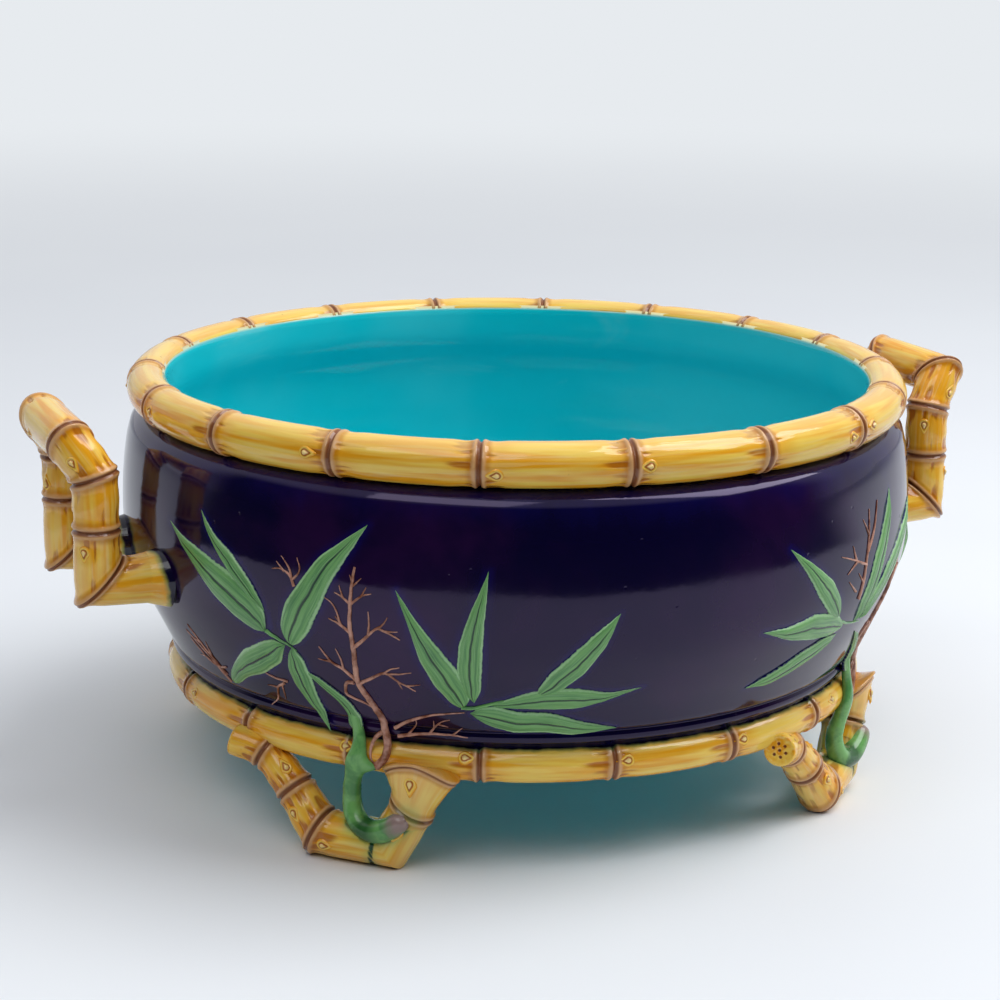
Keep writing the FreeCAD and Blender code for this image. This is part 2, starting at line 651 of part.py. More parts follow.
def twig_outline(twig):
    """A tapering twig as straight edges round its bends, in (across, rise)."""
    bends, width = twig
    points = [Vector(x, y, 0) for x, y in bends]
    left, right = [], []
    for number, point in enumerate(points[:-1]):
        before = points[max(number - 1, 0)]
        way = points[number + 1] - before
        side = Vector(-way.y, way.x, 0).normalize()
        half = width / 2 * (1 - 0.6 * number / (len(points) - 1))
        left.append(point + side * half)
        right.append(point - side * half)
    ring = left + [points[-1]] + right[::-1]
    return [[a, b] for a, b in zip(ring, ring[1:] + ring[:1])]


def edge_through(poles):
    """A straight edge between two points, or a curve guided by more."""
    if len(poles) == 2:
        return Part.makeLine(*poles)
    curve = Part.BezierCurve()
    curve.setPoles(poles)
    return curve.toShape()


def relief_face(bowl, size, middle, spray, outline):
    """Lays an outline on the plane that faces its part of the wall."""
    belly = size["belly_radius"].value
    ring_z = size["ring_height"].value
    facing_angle = spray + math.degrees(middle / belly)
    place = foot_frame(facing_angle)

    def lay(point):
        height = ring_z + point.y
        turn = (point.x - middle) / belly
        return place(bowl.radius_at(height) * math.sin(turn), 0, height)

    edges = [edge_through([lay(point) for point in poles]) for poles in outline]
    wire = Part.Wire(Part.__sortEdges__(edges))
    return Part.Face(wire), place(0, 1, 0)


def relief_prisms(doc, size, name, bowl, spray, outlines):
    """The outlines of leaves or twigs, pushed outwards from the bowl's axis."""
    across = [point.x for outline in outlines for poles in outline for point in poles]
    middle = (min(across) + max(across)) / 2
    prisms = []
    for number, outline in enumerate(outlines, start=1):
        face, out = relief_face(bowl, size, middle, spray, outline)
        drawn = shape_feature(doc, "%s_outline_%d" % (name, number), face)
        prism = doc.addObject("Part::Extrusion", "%s_prism_%d" % (name, number))
        prism.Base = drawn
        prism.DirMode = "Custom"
        prism.Dir = out
        prism.Solid = True
        bind(prism, "LengthFwd", size["belly_radius"] * 1.2)
        prisms.append(prism)
    return prisms[0] if len(prisms) == 1 else fuse(doc, name + "_prisms", prisms)


def make_sprays(doc, size, bowl, skin):
    """The two designs of spray, each used on two opposite quarters of the wall."""
    pieces = []
    designs = [(0, LEFT_SPRIG, RIGHT_SPRIG, TREE + STRAYS_LEFT),
               (1, TALL_SPRIG, SMALL_SPRIG, SHORT_TREE + STRAYS_TALL)]
    for quarter, first_leaves, second_leaves, twigs in designs:
        name, angle = QUARTERS[quarter]
        far_name = QUARTERS[quarter + 2][0]
        groups = [("leaf_sprig_%s_a", [leaf_outline(leaf) for leaf in first_leaves]),
                  ("leaf_sprig_%s_b", [leaf_outline(leaf) for leaf in second_leaves]),
                  ("twigs_%s", [twig_outline(twig) for twig in twigs])]
        for label, outlines in groups:
            prisms = relief_prisms(doc, size, label % name, bowl, angle, outlines)
            piece = common(doc, label % name, skin, prisms)
            pieces.append((label % name, piece))
            pieces.append((label % far_name, rotated_copy(doc, label % far_name, piece, 180.0)))
    return pieces


# ---------------------------------------------------------------- assembly

def check_and_write(doc, nodes):
    """Stops on any failed object or shape, then writes each piece to its own file."""
    for thing in doc.Objects:
        if "Invalid" in thing.State or "Error" in thing.State:
            raise RuntimeError("%s failed: %s" % (thing.Label, thing.State))
    for label, thing in nodes:
        shape = thing.Shape
        if shape.isNull() or not shape.isValid() or not shape.Solids:
            raise RuntimeError("%s has no valid solid" % label)
    os.makedirs("parts", exist_ok=True)
    for label, thing in nodes:
        thing.Shape.exportStep("parts/%s.step" % label)


def main():
    doc = FreeCAD.newDocument("planter")
    size = fill_sheet(doc)
    bowl = Bowl(size)
    body = make_bowl(doc, size, bowl)
    skin = make_relief_skin(doc, size, bowl)
    rim = make_bamboo_ring(doc, size, body, "rim_bamboo", bowl.rim, size["rim_rod"],
                           size["rim_seat_top"], size["rim_seat_end"])
    ring = make_bamboo_ring(doc, size, body, "base_ring", bowl.ring, size["ring_rod"],
                            size["ring_seat_top"], size["ring_seat_end"])
    nodes = [("bowl", body), ("rim_bamboo", rim), ("base_ring", ring)]
    right, left = make_handles(doc, size, bowl, body)
    nodes += [("handle_right", right), ("handle_left", left)]
    foot = make_foot(doc, size, bowl)
    shoot = make_shoot(doc, size, bowl, skin)
    doc.recompute()
    for name, angle in QUARTERS:
        turn = angle - QUARTERS[0][1]
        foot_piece = rotated_copy(doc, "foot_turned_" + name, foot, turn)
        for tool in (ring, body):
            foot_piece = cut(doc, "foot_%s_by_%s" % (name, tool.Label), foot_piece, tool)
        shoot_piece = rotated_copy(doc, "shoot_turned_" + name, shoot, turn)
        for tool in (ring, body, foot_piece):
            shoot_piece = cut(doc, "shoot_%s_by_%s" % (name, tool.Label), shoot_piece, tool)
        nodes += [("foot_" + name, foot_piece), ("shoot_" + name, shoot_piece)]
    nodes += make_sprays(doc, size, bowl, skin)
    for label, thing in nodes:
        thing.Label = label
    doc.recompute()
    check_and_write(doc, nodes)
    for label, thing in nodes:
        box = thing.Shape.BoundBox
        print("%-26s solids %d volume %9.0f  z %6.1f..%6.1f" % (
            label, len(thing.Shape.Solids), thing.Shape.Volume, box.ZMin, box.ZMax))


main()
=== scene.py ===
import math

import bmesh
import bpy
import numpy as np
from bpy.props import FloatProperty, FloatVectorProperty, IntProperty, PointerProperty
from mathutils import Matrix, Vector, noise


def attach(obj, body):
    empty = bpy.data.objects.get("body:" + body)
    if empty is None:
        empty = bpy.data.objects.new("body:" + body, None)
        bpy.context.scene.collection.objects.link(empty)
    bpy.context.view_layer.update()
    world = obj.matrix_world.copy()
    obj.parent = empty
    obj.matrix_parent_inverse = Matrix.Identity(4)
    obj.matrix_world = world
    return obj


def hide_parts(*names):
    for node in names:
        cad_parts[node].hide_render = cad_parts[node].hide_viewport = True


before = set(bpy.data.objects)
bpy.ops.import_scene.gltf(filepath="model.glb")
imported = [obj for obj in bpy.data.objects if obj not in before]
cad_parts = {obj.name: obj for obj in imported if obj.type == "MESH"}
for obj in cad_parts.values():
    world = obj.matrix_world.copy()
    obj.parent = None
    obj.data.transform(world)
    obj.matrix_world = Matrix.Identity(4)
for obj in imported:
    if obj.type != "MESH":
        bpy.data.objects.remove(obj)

bl_info = {
    "name": "Bamboo-footed planter",
    "version": (1, 0, 0),
    "blender": (4, 5, 0),
    "location": "View3D > Sidebar > Planter",
    "description": "Dresses the packed planter in modelled clay and fired glazes",
    "category": "Object",
}

MM = 0.001
BELLY_RADIUS = 168.7  # of the bowl's widest circle, in millimetres
QUARTERS = [("front_left", -135.0), ("front_right", -45.0), ("back_right", 45.0), ("back_left", 135.0)]

# The outer wall from its foot to the rim rod, as (height, radius) in millimetres.
WALL = [(60.8, 150.2), (65.8, 152.6), (70.8, 155.0), (75.8, 157.5), (80.8, 159.8), (85.8, 162.0),
        (90.8, 164.1), (95.8, 165.8), (100.8, 167.0), (105.8, 167.7), (110.8, 168.0), (115.8, 168.1),
        (120.8, 168.0), (125.8, 167.8), (130.8, 167.4), (135.8, 166.9), (140.8, 166.2), (145.8, 165.4),
        (150.8, 163.9)]
WALL_NECK = [(153.4, 162.0), (155.1, 159.6), (156.2, 156.6), (157.2, 153.4)]
# Mouldings between the base ring and the foot of the wall, as (height, radius).
FOOT_MOULDING = [(50.4, 143.6), (51.4, 145.4), (52.2, 146.2), (53.1, 146.7), (53.6, 147.0), (54, 147.8),
                 (54.8, 148.6), (56.2, 148.9), (57.4, 148.8), (58.1, 148.3), (58.5, 148.2), (59, 148.9),
                 (59.8, 149.6)]
LINING = [(171.1, 150.1), (171.15, 149.5), (170, 148.9), (164.8, 148.8), (157.8, 149.2), (152.8, 151.0),
          (147.8, 154.4), (142.8, 157.6), (135.8, 159.6), (125.8, 160.6), (115.8, 161.0), (105.8, 160.4),
          (95.8, 158.2), (85.8, 154.6), (75.8, 149.8), (68.8, 145.6), (64.2, 142.0), (60.2, 137.0),
          (57.4, 130.0), (56.3, 120.0), (56.22, 60.0), (56.22, 0.0)]
UNDERSIDE = [(40.4, 139.4), (39.75, 137.6), (39.72, 134.6), (40.1, 132.0), (41.2, 131.0), (45.6, 130.6),
             (47.4, 129.6), (48.2, 126.0), (48.22, 60.0), (48.22, 0.0)]

# Leaves on the wall: base, the points up one edge, the tip, the points down the other edge.
# Each point is (across, rise): along the belly from the foot's centre, and up from the base ring.
LEFT_SPRIG = [
    ((-38.3, 49.0), [(-44.2, 48.0), (-53.0, 51.7), (-64.8, 58.7), (-73.6, 66.2), (-83.9, 74.8)],
     (-94.2, 82.7),
     [(-83.9, 78.6), (-73.6, 76.2), (-53.0, 70.2), (-41.2, 64.2), (-36.0, 57.0), (-35.5, 51.0)]),
    ((-37.0, 57.6), [(-44.0, 62.0), (-51.0, 67.0), (-58.9, 74.2), (-67.7, 84.0)], (-72.1, 91.2),
     [(-63.3, 83.6), (-53.0, 78.2), (-42.7, 68.6), (-37.8, 61.0)]),
    ((-26.3, 45.3), [(-29.2, 47.5), (-30.2, 53.2), (-26.8, 63.2), (-19.1, 73.4), (-11.8, 83.0), (-2.9, 89.6)],
     (8.2, 97.2), [(2.9, 88.0), (-5.9, 74.2), (-10.3, 64.2), (-16.2, 53.2), (-22.0, 47.0)]),
    ((-30.2, 44.4), [(-35.0, 35.6), (-47.1, 28.0), (-61.8, 22.6), (-70.0, 17.4)], (-75.6, 16.6),
     [(-73.4, 22.6), (-67.7, 27.6), (-55.9, 37.2), (-41.2, 44.4), (-35.0, 46.6)]),
    ((-26.6, 44.6), [(-22.8, 40.0), (-21.2, 31.2), (-21.4, 22.2), (-19.4, 15.0)], (-17.6, 8.2),
     [(-23.6, 14.4), (-28.4, 19.6), (-32.0, 27.0), (-32.6, 34.0), (-29.8, 41.0)]),
]
RIGHT_SPRIG = [
    ((44.0, 26.0), [(39.7, 26.6), (32.4, 35.6), (28.0, 46.2), (24.6, 60.4), (21.6, 68.0)], (19.7, 74.2),
     [(26.5, 64.6), (35.3, 53.4), (42.9, 43.2), (47.0, 34.0), (46.8, 28.4)]),
    ((48.4, 28.4), [(44.4, 33.0), (42.2, 42.0), (43.2, 54.2), (48.2, 68.6), (51.8, 76.4)], (54.5, 83.2),
     [(54.0, 72.0), (53.0, 60.2), (52.4, 46.2), (51.4, 34.0)]),
    ((72.8, 32.0), [(74.0, 36.4), (78.0, 43.0), (85.4, 50.6), (94.2, 59.4)], (103.6, 66.7),
     [(98.6, 53.4), (91.3, 42.0), (82.6, 34.4)]),
    ((52.2, 27.6), [(60.0, 30.0), (68.0, 33.4), (77.0, 36.0), (88.3, 35.9), (103.1, 32.8)], (116.3, 34.2),
     [(103.1, 29.8), (91.3, 26.0), (79.5, 25.8), (64.0, 26.4)]),
    ((46.4, 23.4), [(51.0, 27.0), (57.0, 27.6), (66.0, 25.0), (79.5, 24.6), (94.2, 19.6)], (108.9, 15.7),
     [(98.0, 14.4), (88.3, 13.8), (77.0, 15.2), (64.0, 14.8), (53.0, 18.2)]),
]
TALL_SPRIG = [
    ((-52.0, 47.0), [(-60.0, 50.6), (-70.0, 60.0), (-79.0, 72.0)], (-88.3, 83.2),
     [(-74.0, 74.4), (-62.0, 66.0), (-54.0, 56.0)]),
    ((-44.2, 43.0), [(-54.0, 40.2), (-68.0, 41.6), (-82.0, 44.6)], (-98.6, 51.2),
     [(-84.0, 51.4), (-70.0, 54.0), (-54.0, 50.4)]),
    ((-47.1, 39.5), [(-58.0, 32.4), (-72.0, 27.6), (-84.0, 25.0)], (-97.2, 25.7),
     [(-84.0, 31.0), (-70.0, 37.0), (-56.0, 40.6)]),
    ((-34.0, 40.5), [(-36.0, 52.0), (-30.0, 68.0), (-21.0, 82.0)], (-13.2, 93.2),
     [(-14.6, 78.0), (-20.0, 62.0), (-26.0, 48.0)]),
    ((-27.5, 41.0), [(-26.0, 51.0), (-14.0, 62.0), (4.0, 72.6)], (23.6, 81.2),
     [(8.0, 66.0), (-8.0, 53.0), (-20.0, 42.6)]),
]
SMALL_SPRIG = [
    ((50.0, 26.5), [(44.0, 31.0), (38.6, 44.0), (36.8, 56.0)], (37.0, 66.0),
     [(43.6, 57.0), (49.0, 44.0), (51.4, 33.0)]),
    ((52.5, 28.0), [(49.6, 40.0), (50.0, 56.0), (54.4, 66.0)], (57.5, 72.0),
     [(58.6, 60.0), (58.6, 46.0), (56.0, 34.0)]),
    ((66.0, 32.0), [(66.0, 38.0), (70.6, 47.0)], (79.0, 55.0), [(77.6, 44.0), (72.0, 35.0)]),
    ((54.0, 28.2), [(62.0, 34.0), (74.0, 36.0)], (88.0, 33.0), [(76.0, 28.0), (64.0, 26.6)]),
    ((51.5, 25.0), [(60.0, 25.4), (72.0, 21.4)], (83.0, 15.7), [(70.0, 14.4), (58.0, 17.6)]),
]
# The stalks that join the leaves of a sprig.
LEFT_STALKS = [[(-38.0, 49.4), (-32.0, 46.4), (-28.0, 45.0), (-25.0, 43.0)]]
RIGHT_STALKS = [[(43.0, 26.0), (48.0, 26.0), (53.0, 27.6), (60.0, 29.6), (72.8, 32.2)]]
TALL_STALKS = [[(-52.0, 47.0), (-42.0, 43.0), (-32.0, 41.0), (-27.0, 40.0)]]

# Twigs: the bends of each as (across, rise), then its width at the root.
TRUNK = [(4.6, -3.0), (8.4, 1.0), (9.8, 6.0), (8.8, 12.0), (6.9, 19.0), (3.6, 25.8), (0.6, 33.0), (0.8, 40.0),
         (1.6, 47.0)]
ROOT_LOOP = [(8.6, 12.0), (5.0, 9.6), (2.4, 5.4), (1.8, 0.6), (3.8, -2.4)]
LOW_BRANCHES = [
    ([(0.0, 32.4), (6.6, 35.8), (13.2, 39.2), (18.0, 36.0), (25.0, 32.2)], 1.7),
    ([(12.4, 38.8), (16.0, 41.4), (19.6, 42.4)], 1.1),
    ([(13.6, 38.9), (19.0, 39.4), (24.2, 40.6)], 1.1),
    ([(18.0, 36.2), (19.4, 32.6)], 1.0),
    ([(21.4, 34.2), (27.2, 35.4)], 1.0),
    ([(-1.6, 32.6), (-4.6, 32.4), (-6.2, 29.6), (-6.0, 26.4), (-1.0, 24.4), (3.6, 22.4), (6.6, 19.6)], 1.8),
    (ROOT_LOOP, 2.4),
]
TREE = LOW_BRANCHES + [
    (TRUNK + [(1.4, 54.0), (1.4, 61.2), (2.2, 71.2), (3.6, 81.0)], 3.8),
    ([(2.0, 49.2), (6.0, 52.6), (11.8, 58.0), (15.0, 57.6), (21.2, 54.6)], 1.8),
    ([(8.6, 55.4), (9.2, 60.0), (9.0, 64.6)], 1.2),
    ([(11.4, 57.8), (14.6, 60.0), (16.6, 63.2)], 1.2),
    ([(15.4, 57.4), (20.4, 57.8)], 1.0),
    ([(1.8, 54.6), (-1.6, 57.4), (-7.4, 60.0)], 1.6),
    ([(-1.8, 57.4), (-4.6, 61.2)], 1.1),
    ([(-2.4, 57.8), (-4.8, 65.0), (-9.6, 68.4)], 1.0),
    ([(2.3, 67.0), (6.6, 70.4), (10.3, 71.6)], 1.3),
    ([(6.2, 70.0), (8.4, 74.0)], 1.0),
    ([(2.2, 66.4), (-1.6, 69.2), (-4.6, 70.4)], 1.3),
    ([(-1.2, 68.8), (-2.6, 73.6)], 1.0),
    ([(3.2, 74.0), (6.4, 77.2)], 1.0),
    ([(3.0, 73.6), (1.6, 78.0)], 1.0),
    ([(-0.2, 34.0), (-4.6, 38.2), (-9.6, 41.2), (-13.6, 47.2)], 1.7),
    ([(-4.8, 38.4), (-4.8, 43.4), (-6.4, 47.2)], 1.1),
    ([(-9.4, 41.2), (-15.4, 41.4)], 1.0),
]
SHORT_TREE = LOW_BRANCHES + [
    (TRUNK + [(0.4, 52.0), (1.6, 56.0), (3.0, 60.0)], 4.0),
    ([(1.4, 50.0), (5.0, 54.0), (9.6, 56.0)], 1.4),
    ([(1.6, 53.0), (-1.4, 57.0)], 1.1),
]
STRAYS_LEFT = [
    ([(-22.2, 70.2), (-23.8, 74.0), (-28.3, 76.2), (-32.2, 75.6)], 1.4),
    ([(-22.8, 72.4), (-24.8, 77.6), (-28.0, 81.2)], 1.1),
    ([(-26.6, 75.4), (-30.2, 78.8)], 1.0),
    ([(-22.6, 73.0), (-19.6, 76.6), (-20.8, 81.6)], 1.1),
    ([(-38.3, 25.4), (-43.0, 22.6), (-46.0, 16.6), (-50.0, 13.2)], 1.5),
    ([(-36.0, 26.6), (-44.6, 27.4), (-52.0, 31.0)], 1.2),
    ([(-43.0, 22.6), (-49.4, 22.2)], 1.0),
    ([(-40.0, 24.2), (-41.0, 17.4)], 1.0),
    ([(-78.0, 19.6), (-84.3, 26.2), (-89.0, 31.6), (-94.4, 38.6)], 1.3),
    ([(-76.0, 23.6), (-83.0, 22.4), (-91.0, 25.0), (-98.0, 31.6)], 1.2),
    ([(-77.0, 16.6), (-83.0, 22.0), (-90.0, 28.6), (-99.0, 35.0)], 1.1),
    ([(-84.3, 26.2), (-84.0, 33.4)], 0.9),
    ([(-89.0, 31.6), (-94.6, 32.6)], 0.9),
    ([(-91.0, 25.0), (-97.0, 24.0)], 0.9),
    ([(13.0, 13.6), (20.0, 17.6), (30.4, 21.4), (44.0, 23.6)], 1.7),
    ([(14.6, 10.6), (24.0, 12.4), (34.0, 13.0), (45.2, 12.4)], 1.7),
    ([(19.0, 11.6), (22.6, 15.8), (22.8, 18.2)], 1.2),
    ([(28.4, 12.8), (33.0, 17.8), (37.6, 19.6)], 1.2),
    ([(30.6, 15.4), (30.6, 18.6)], 1.0),
    ([(32.4, 17.2), (36.8, 16.2)], 1.0),
    ([(38.4, 12.8), (42.6, 16.0)], 1.0),
]
STRAYS_TALL = [
    ([(-39.2, 53.0), (-37.4, 68.2), (-36.0, 79.0), (-35.6, 89.0)], 1.6),
    ([(-37.3, 67.0), (-46.0, 70.4), (-57.0, 74.2)], 1.4),
    ([(-45.0, 70.0), (-52.0, 66.0)], 1.1),
    ([(-46.0, 70.4), (-49.0, 77.0)], 1.1),
    ([(-36.8, 72.0), (-31.4, 80.0), (-27.6, 91.2)], 1.4),
    ([(-43.6, 57.2), (-50.0, 62.6)], 1.2),
    ([(-38.4, 60.0), (-43.0, 64.6)], 1.1),
    ([(-36.0, 79.0), (-41.0, 86.0)], 1.0),
    ([(13.0, 11.6), (29.4, 15.2), (38.0, 14.6), (46.2, 15.2)], 1.7),
    ([(20.0, 13.0), (24.0, 18.6)], 1.1),
    ([(30.0, 15.2), (36.0, 19.6)], 1.1),
]

# The green shoot at a foot, from the wall to its tip: (across, out, up, half width, half depth),
# across from the foot's centre, out from the bowl's axis and up from the floor.
SHOOT = [(-6.2, 152.4, 66.5, 0.7, 0.6), (-4.8, 151.0, 61.0, 1.6, 1.2), (-3.6, 150.4, 56.5, 2.2, 1.7),
         (-2.9, 150.6, 52.0, 2.6, 2.0), (-2.9, 151.2, 48.6, 3.1, 2.1), (-3.4, 151.6, 45.2, 3.9, 2.3),
         (-4.2, 151.4, 42.4, 4.3, 2.5), (-5.0, 150.6, 39.4, 4.1, 2.8), (-6.0, 149.6, 36.0, 3.6, 3.0),
         (-7.0, 148.5, 32.0, 3.5, 3.3), (-7.4, 147.9, 28.6, 3.6, 3.5), (-7.4, 147.9, 25.0, 3.8, 3.8),
         (-6.4, 148.6, 21.0, 4.1, 4.1), (-4.2, 149.6, 17.8, 4.4, 4.4), (-0.9, 150.6, 15.9, 4.6, 4.6),
         (3.2, 151.6, 15.4, 4.7, 4.7), (7.2, 152.4, 16.4, 4.7, 4.7), (11.2, 153.1, 18.6, 4.5, 4.5),
         (14.6, 153.6, 21.2, 4.2, 4.2), (16.8, 153.8, 22.9, 3.4, 3.4), (18.2, 153.9, 24.0, 1.6, 1.6)]
SHOOT_LOBE = (42.6, 2.1, 6.2)  # its height, how far it fades up and down, and its reach
SHOOT_NODE = 31.0  # height of the node under the ring
SHEATH = ((-4.0, 9.0), [(-8.4, 12.6), (-8.6, 17.6), (-11.0, 22.6), (-15.8, 26.8)], (-24.6, 34.8),
          [(-18.0, 32.6), (-11.4, 28.0), (-6.2, 23.8), (-2.2, 17.0), (-1.2, 11.6)])

# Buds on a bamboo ring: (angle round the bowl, angle on the rod), both in degrees.
RIM_BUDS = [(-175.0, 4.0), (-141.5, 6.0), (-115.7, -16.0), (-96.0, 2.0), (-61.2, -6.0), (-55.0, 8.0),
            (-25.0, 0.0), (6.0, 8.0), (24.4, -8.0), (47.0, 4.0), (84.0, -6.0), (104.0, 6.0), (126.0, 0.0),
            (163.5, -8.0)]
RING_BUDS = [(-173.5, 16.0), (-138.7, 24.0), (-120.2, 30.0), (-96.0, 14.0), (-76.0, 18.0), (-52.0, 22.0),
             (-13.0, 12.0), (6.0, 22.0), (42.0, 20.0), (66.0, 12.0), (84.0, 20.0), (104.0, 16.0),
             (146.0, 22.0)]


def srgb(red, green, blue):
    """A colour given in 0 to 255, as the linear values that shaders take."""
    def one(value):
        value /= 255.0
        return value / 12.92 if value <= 0.04045 else ((value + 0.055) / 1.055) ** 2.4
    return (one(red), one(green), one(blue))


def length(name, default, about):
    return FloatProperty(name=name, description=about, default=default, min=0.0, unit="LENGTH")


def colour(name, rgb, about):
    return FloatVectorProperty(name=name, description=about, default=srgb(*rgb), size=3, min=0.0,
                               max=1.0, subtype="COLOR")


# ---------------------------------------------------------------- settings


class PlanterSizes(bpy.types.PropertyGroup):
    rim_radius: length("Rim radius", 0.1563, "Bowl's axis to the centre line of the rim rod")
    rim_height: length("Rim height", 0.1650, "Floor to the centre line of the rim rod")
    rim_rod: length("Rim rod", 0.0087, "Radius of the rim rod")
    ring_radius: length("Ring radius", 0.1428, "Bowl's axis to the centre line of the base ring")
    ring_height: length("Ring height", 0.0446, "Floor to the centre line of the base ring")
    ring_rod: length("Ring rod", 0.0076, "Radius of the base ring's rod")
    node_lip: length("Node lip", 0.00042, "Height of the two lips of a bamboo node")
    node_groove: length("Node groove", 0.0007, "Depth of the groove between the lips of a node")
    leaf_height: length("Leaf relief", 0.00135, "How far a leaf stands out of the wall")
    node_count: IntProperty(name="Internodes", description="Bamboo internodes round each ring",
                            default=18, min=3, max=60)
    node_start: FloatProperty(name="First node", description="Angle of the first node from the handles",
                              default=math.radians(2.0), subtype="ANGLE")


class PlanterColours(bpy.types.PropertyGroup):
    straw: colour("Straw", (250, 211, 92), "Thin bamboo glaze")
    # cream is also the painted highlight laid along the top of the bamboo rods
    cream: colour("Cream", (246, 217, 140), "Bamboo glaze where it runs thin over an edge")
    amber: colour("Amber", (240, 167, 30), "Thicker bamboo glaze")
    ochre: colour("Ochre", (178, 98, 14), "Bamboo glaze pooled in its streaks")
    node_tan: colour("Node tan", (216, 170, 122), "Lips of a bamboo node")
    node_brown: colour("Node brown", (126, 66, 32), "Groove of a bamboo node")
    cobalt: colour("Cobalt", (6, 3, 40), "Thick blue glaze of the wall")
    cobalt_bright: colour("Bright cobalt", (14, 14, 92), "Blue glaze where it runs thin")
    manganese: colour("Manganese", (34, 10, 52), "Purple cast in the blue glaze")
    turquoise: colour("Turquoise", (62, 206, 216), "Lining of the bowl")
    turquoise_deep: colour("Deep turquoise", (8, 200, 212), "Lining where the glaze is thick")
    turquoise_pale: colour("Pale turquoise", (130, 220, 220), "Lining where the glaze is thin")
    leaf_green: colour("Leaf green", (112, 172, 96), "Leaves")
    leaf_dark: colour("Leaf shade", (62, 124, 70), "Glaze pooled along the leaves")
    leaf_vein: colour("Leaf vein", (24, 62, 40), "Veins of the leaves")
    leaf_edge: colour("Leaf edge", (168, 214, 156), "Thin glaze at the margins of the leaves")
    shoot_green: colour("Shoot green", (118, 178, 100), "Green shoots")
    shoot_pool: colour("Shoot pool", (10, 70, 26), "Green glaze pooled in the bends")
    shoot_tip: colour("Shoot tip", (150, 128, 122), "Mauve-grey tip of a shoot")
    twig_brown: colour("Twig brown", (204, 150, 128), "Raised twigs")
    backdrop: colour("Backdrop", (231, 235, 239), "Floor and background")


def sizes():
    return bpy.context.scene.planter_sizes


def colours():
    return bpy.context.scene.planter_colours


# ---------------------------------------------------------------- mesh helpers


def smooth_table(table, step, spread):
    """A smooth curve through (place, value) rows: places at a step, and softened values."""
    rows = np.array(sorted(table), dtype=float)
    places = np.arange(rows[0, 0], rows[-1, 0] + step / 2, step)
    values = np.interp(places, rows[:, 0], rows[:, 1])
    reach = int(4 * spread / step)
    kernel = np.exp(-0.5 * (np.arange(-reach, reach + 1) * step / spread) ** 2)
    before = 2 * values[0] - values[reach:0:-1]
    after = 2 * values[-1] - values[-2:-reach - 2:-1]
    padded = np.concatenate([before, values, after])
    return places, np.convolve(padded, kernel / kernel.sum(), mode="valid")


WALL_HEIGHTS, WALL_RADII = smooth_table(WALL, 0.25, 2.0)


def wall_point(angle, height, lift=0.0):
    """A point on the outer wall, with the outward direction there. Angles in radians."""
    radius = np.interp(height / MM, WALL_HEIGHTS, WALL_RADII) * MM
    above = np.interp(height / MM + 0.5, WALL_HEIGHTS, WALL_RADII)
    below = np.interp(height / MM - 0.5, WALL_HEIGHTS, WALL_RADII)
    lean = -(above - below)
    size = math.hypot(1.0, lean)
    out = Vector((math.cos(angle) / size, math.sin(angle) / size, lean / size))
    return Vector((radius * math.cos(angle), radius * math.sin(angle), height)) + out * lift, out


def on_wall(spray, across, rise, lift=0.0):
    """A point of a spray: across along the belly and rise above the base ring, in millimetres."""
    angle = math.radians(spray) + across / BELLY_RADIUS
    return wall_point(angle, sizes().ring_height + rise * MM, lift * MM)


def even_path(points, count):
    """A smooth curve through points, sampled at even steps."""
    pts = np.array(points, dtype=float)
    ends = np.vstack([2 * pts[0] - pts[1], pts, 2 * pts[-1] - pts[-2]])
    dense = []
    for i in range(1, len(ends) - 2):
        a, b, c, d = ends[i - 1], ends[i], ends[i + 1], ends[i + 2]
        for t in np.linspace(0.0, 1.0, 16, endpoint=False):
            dense.append(0.5 * (2 * b + (c - a) * t + (2 * a - 5 * b + 4 * c - d) * t ** 2
                                + (3 * b - a - 3 * c + d) * t ** 3))
    dense = np.array(dense + [pts[-1]])
    steps = np.concatenate([[0.0], np.cumsum(np.linalg.norm(np.diff(dense, axis=0), axis=1))])
    wanted = np.linspace(0.0, steps[-1], count)
    return np.column_stack([np.interp(wanted, steps, dense[:, k]) for k in range(pts.shape[1])])


def put_in_scene(name, data):
    """Makes an object of a mesh, lamp or camera and links it to the scene."""
    item = bpy.data.objects.new(name, data)
    bpy.context.scene.collection.objects.link(item)
    return item


def write_attribute(mesh, name, column):
    """Writes one number, or one triple, for each point of a mesh."""
    vector = hasattr(column[0], "__len__")
    attribute = mesh.attributes.new(name, "FLOAT_VECTOR" if vector else "FLOAT", "POINT")
    values = np.array([tuple(c) for c in column] if vector else column, dtype=np.float32)
    attribute.data.foreach_set("vector" if vector else "value", values.ravel())


class Shell:
    """Points, faces and point attributes of a piece while it is put together."""

    def __init__(self):
        self.points, self.faces, self.shades = [], [], []
        self.values = {}

    def add(self, points, faces, **values):
        start = len(self.points)
        self.points += [tuple(p) for p in points]
        self.faces += [tuple(start + i for i in face) for face in faces]
        self.shades += [0] * len(faces)
        for name in set(self.values) | set(values):
            column = self.values.setdefault(name, [0.0] * start)
            given = values.get(name, 0.0)
            column += list(given) if hasattr(given, "__len__") else [given] * len(points)

    def piece(self, name, materials):
        mesh = bpy.data.meshes.new(name)
        mesh.from_pydata(self.points, [], self.faces)
        for material in materials:
            mesh.materials.append(material)
        mesh.polygons.foreach_set("material_index", self.shades)
        for key, column in self.values.items():
            if hasattr(column[-1], "__len__"):
                column = [c if hasattr(c, "__len__") else (0.0, 0.0, 0.0) for c in column]
            write_attribute(mesh, key, column)
        close_shell(mesh)
        return put_in_scene(name, mesh)


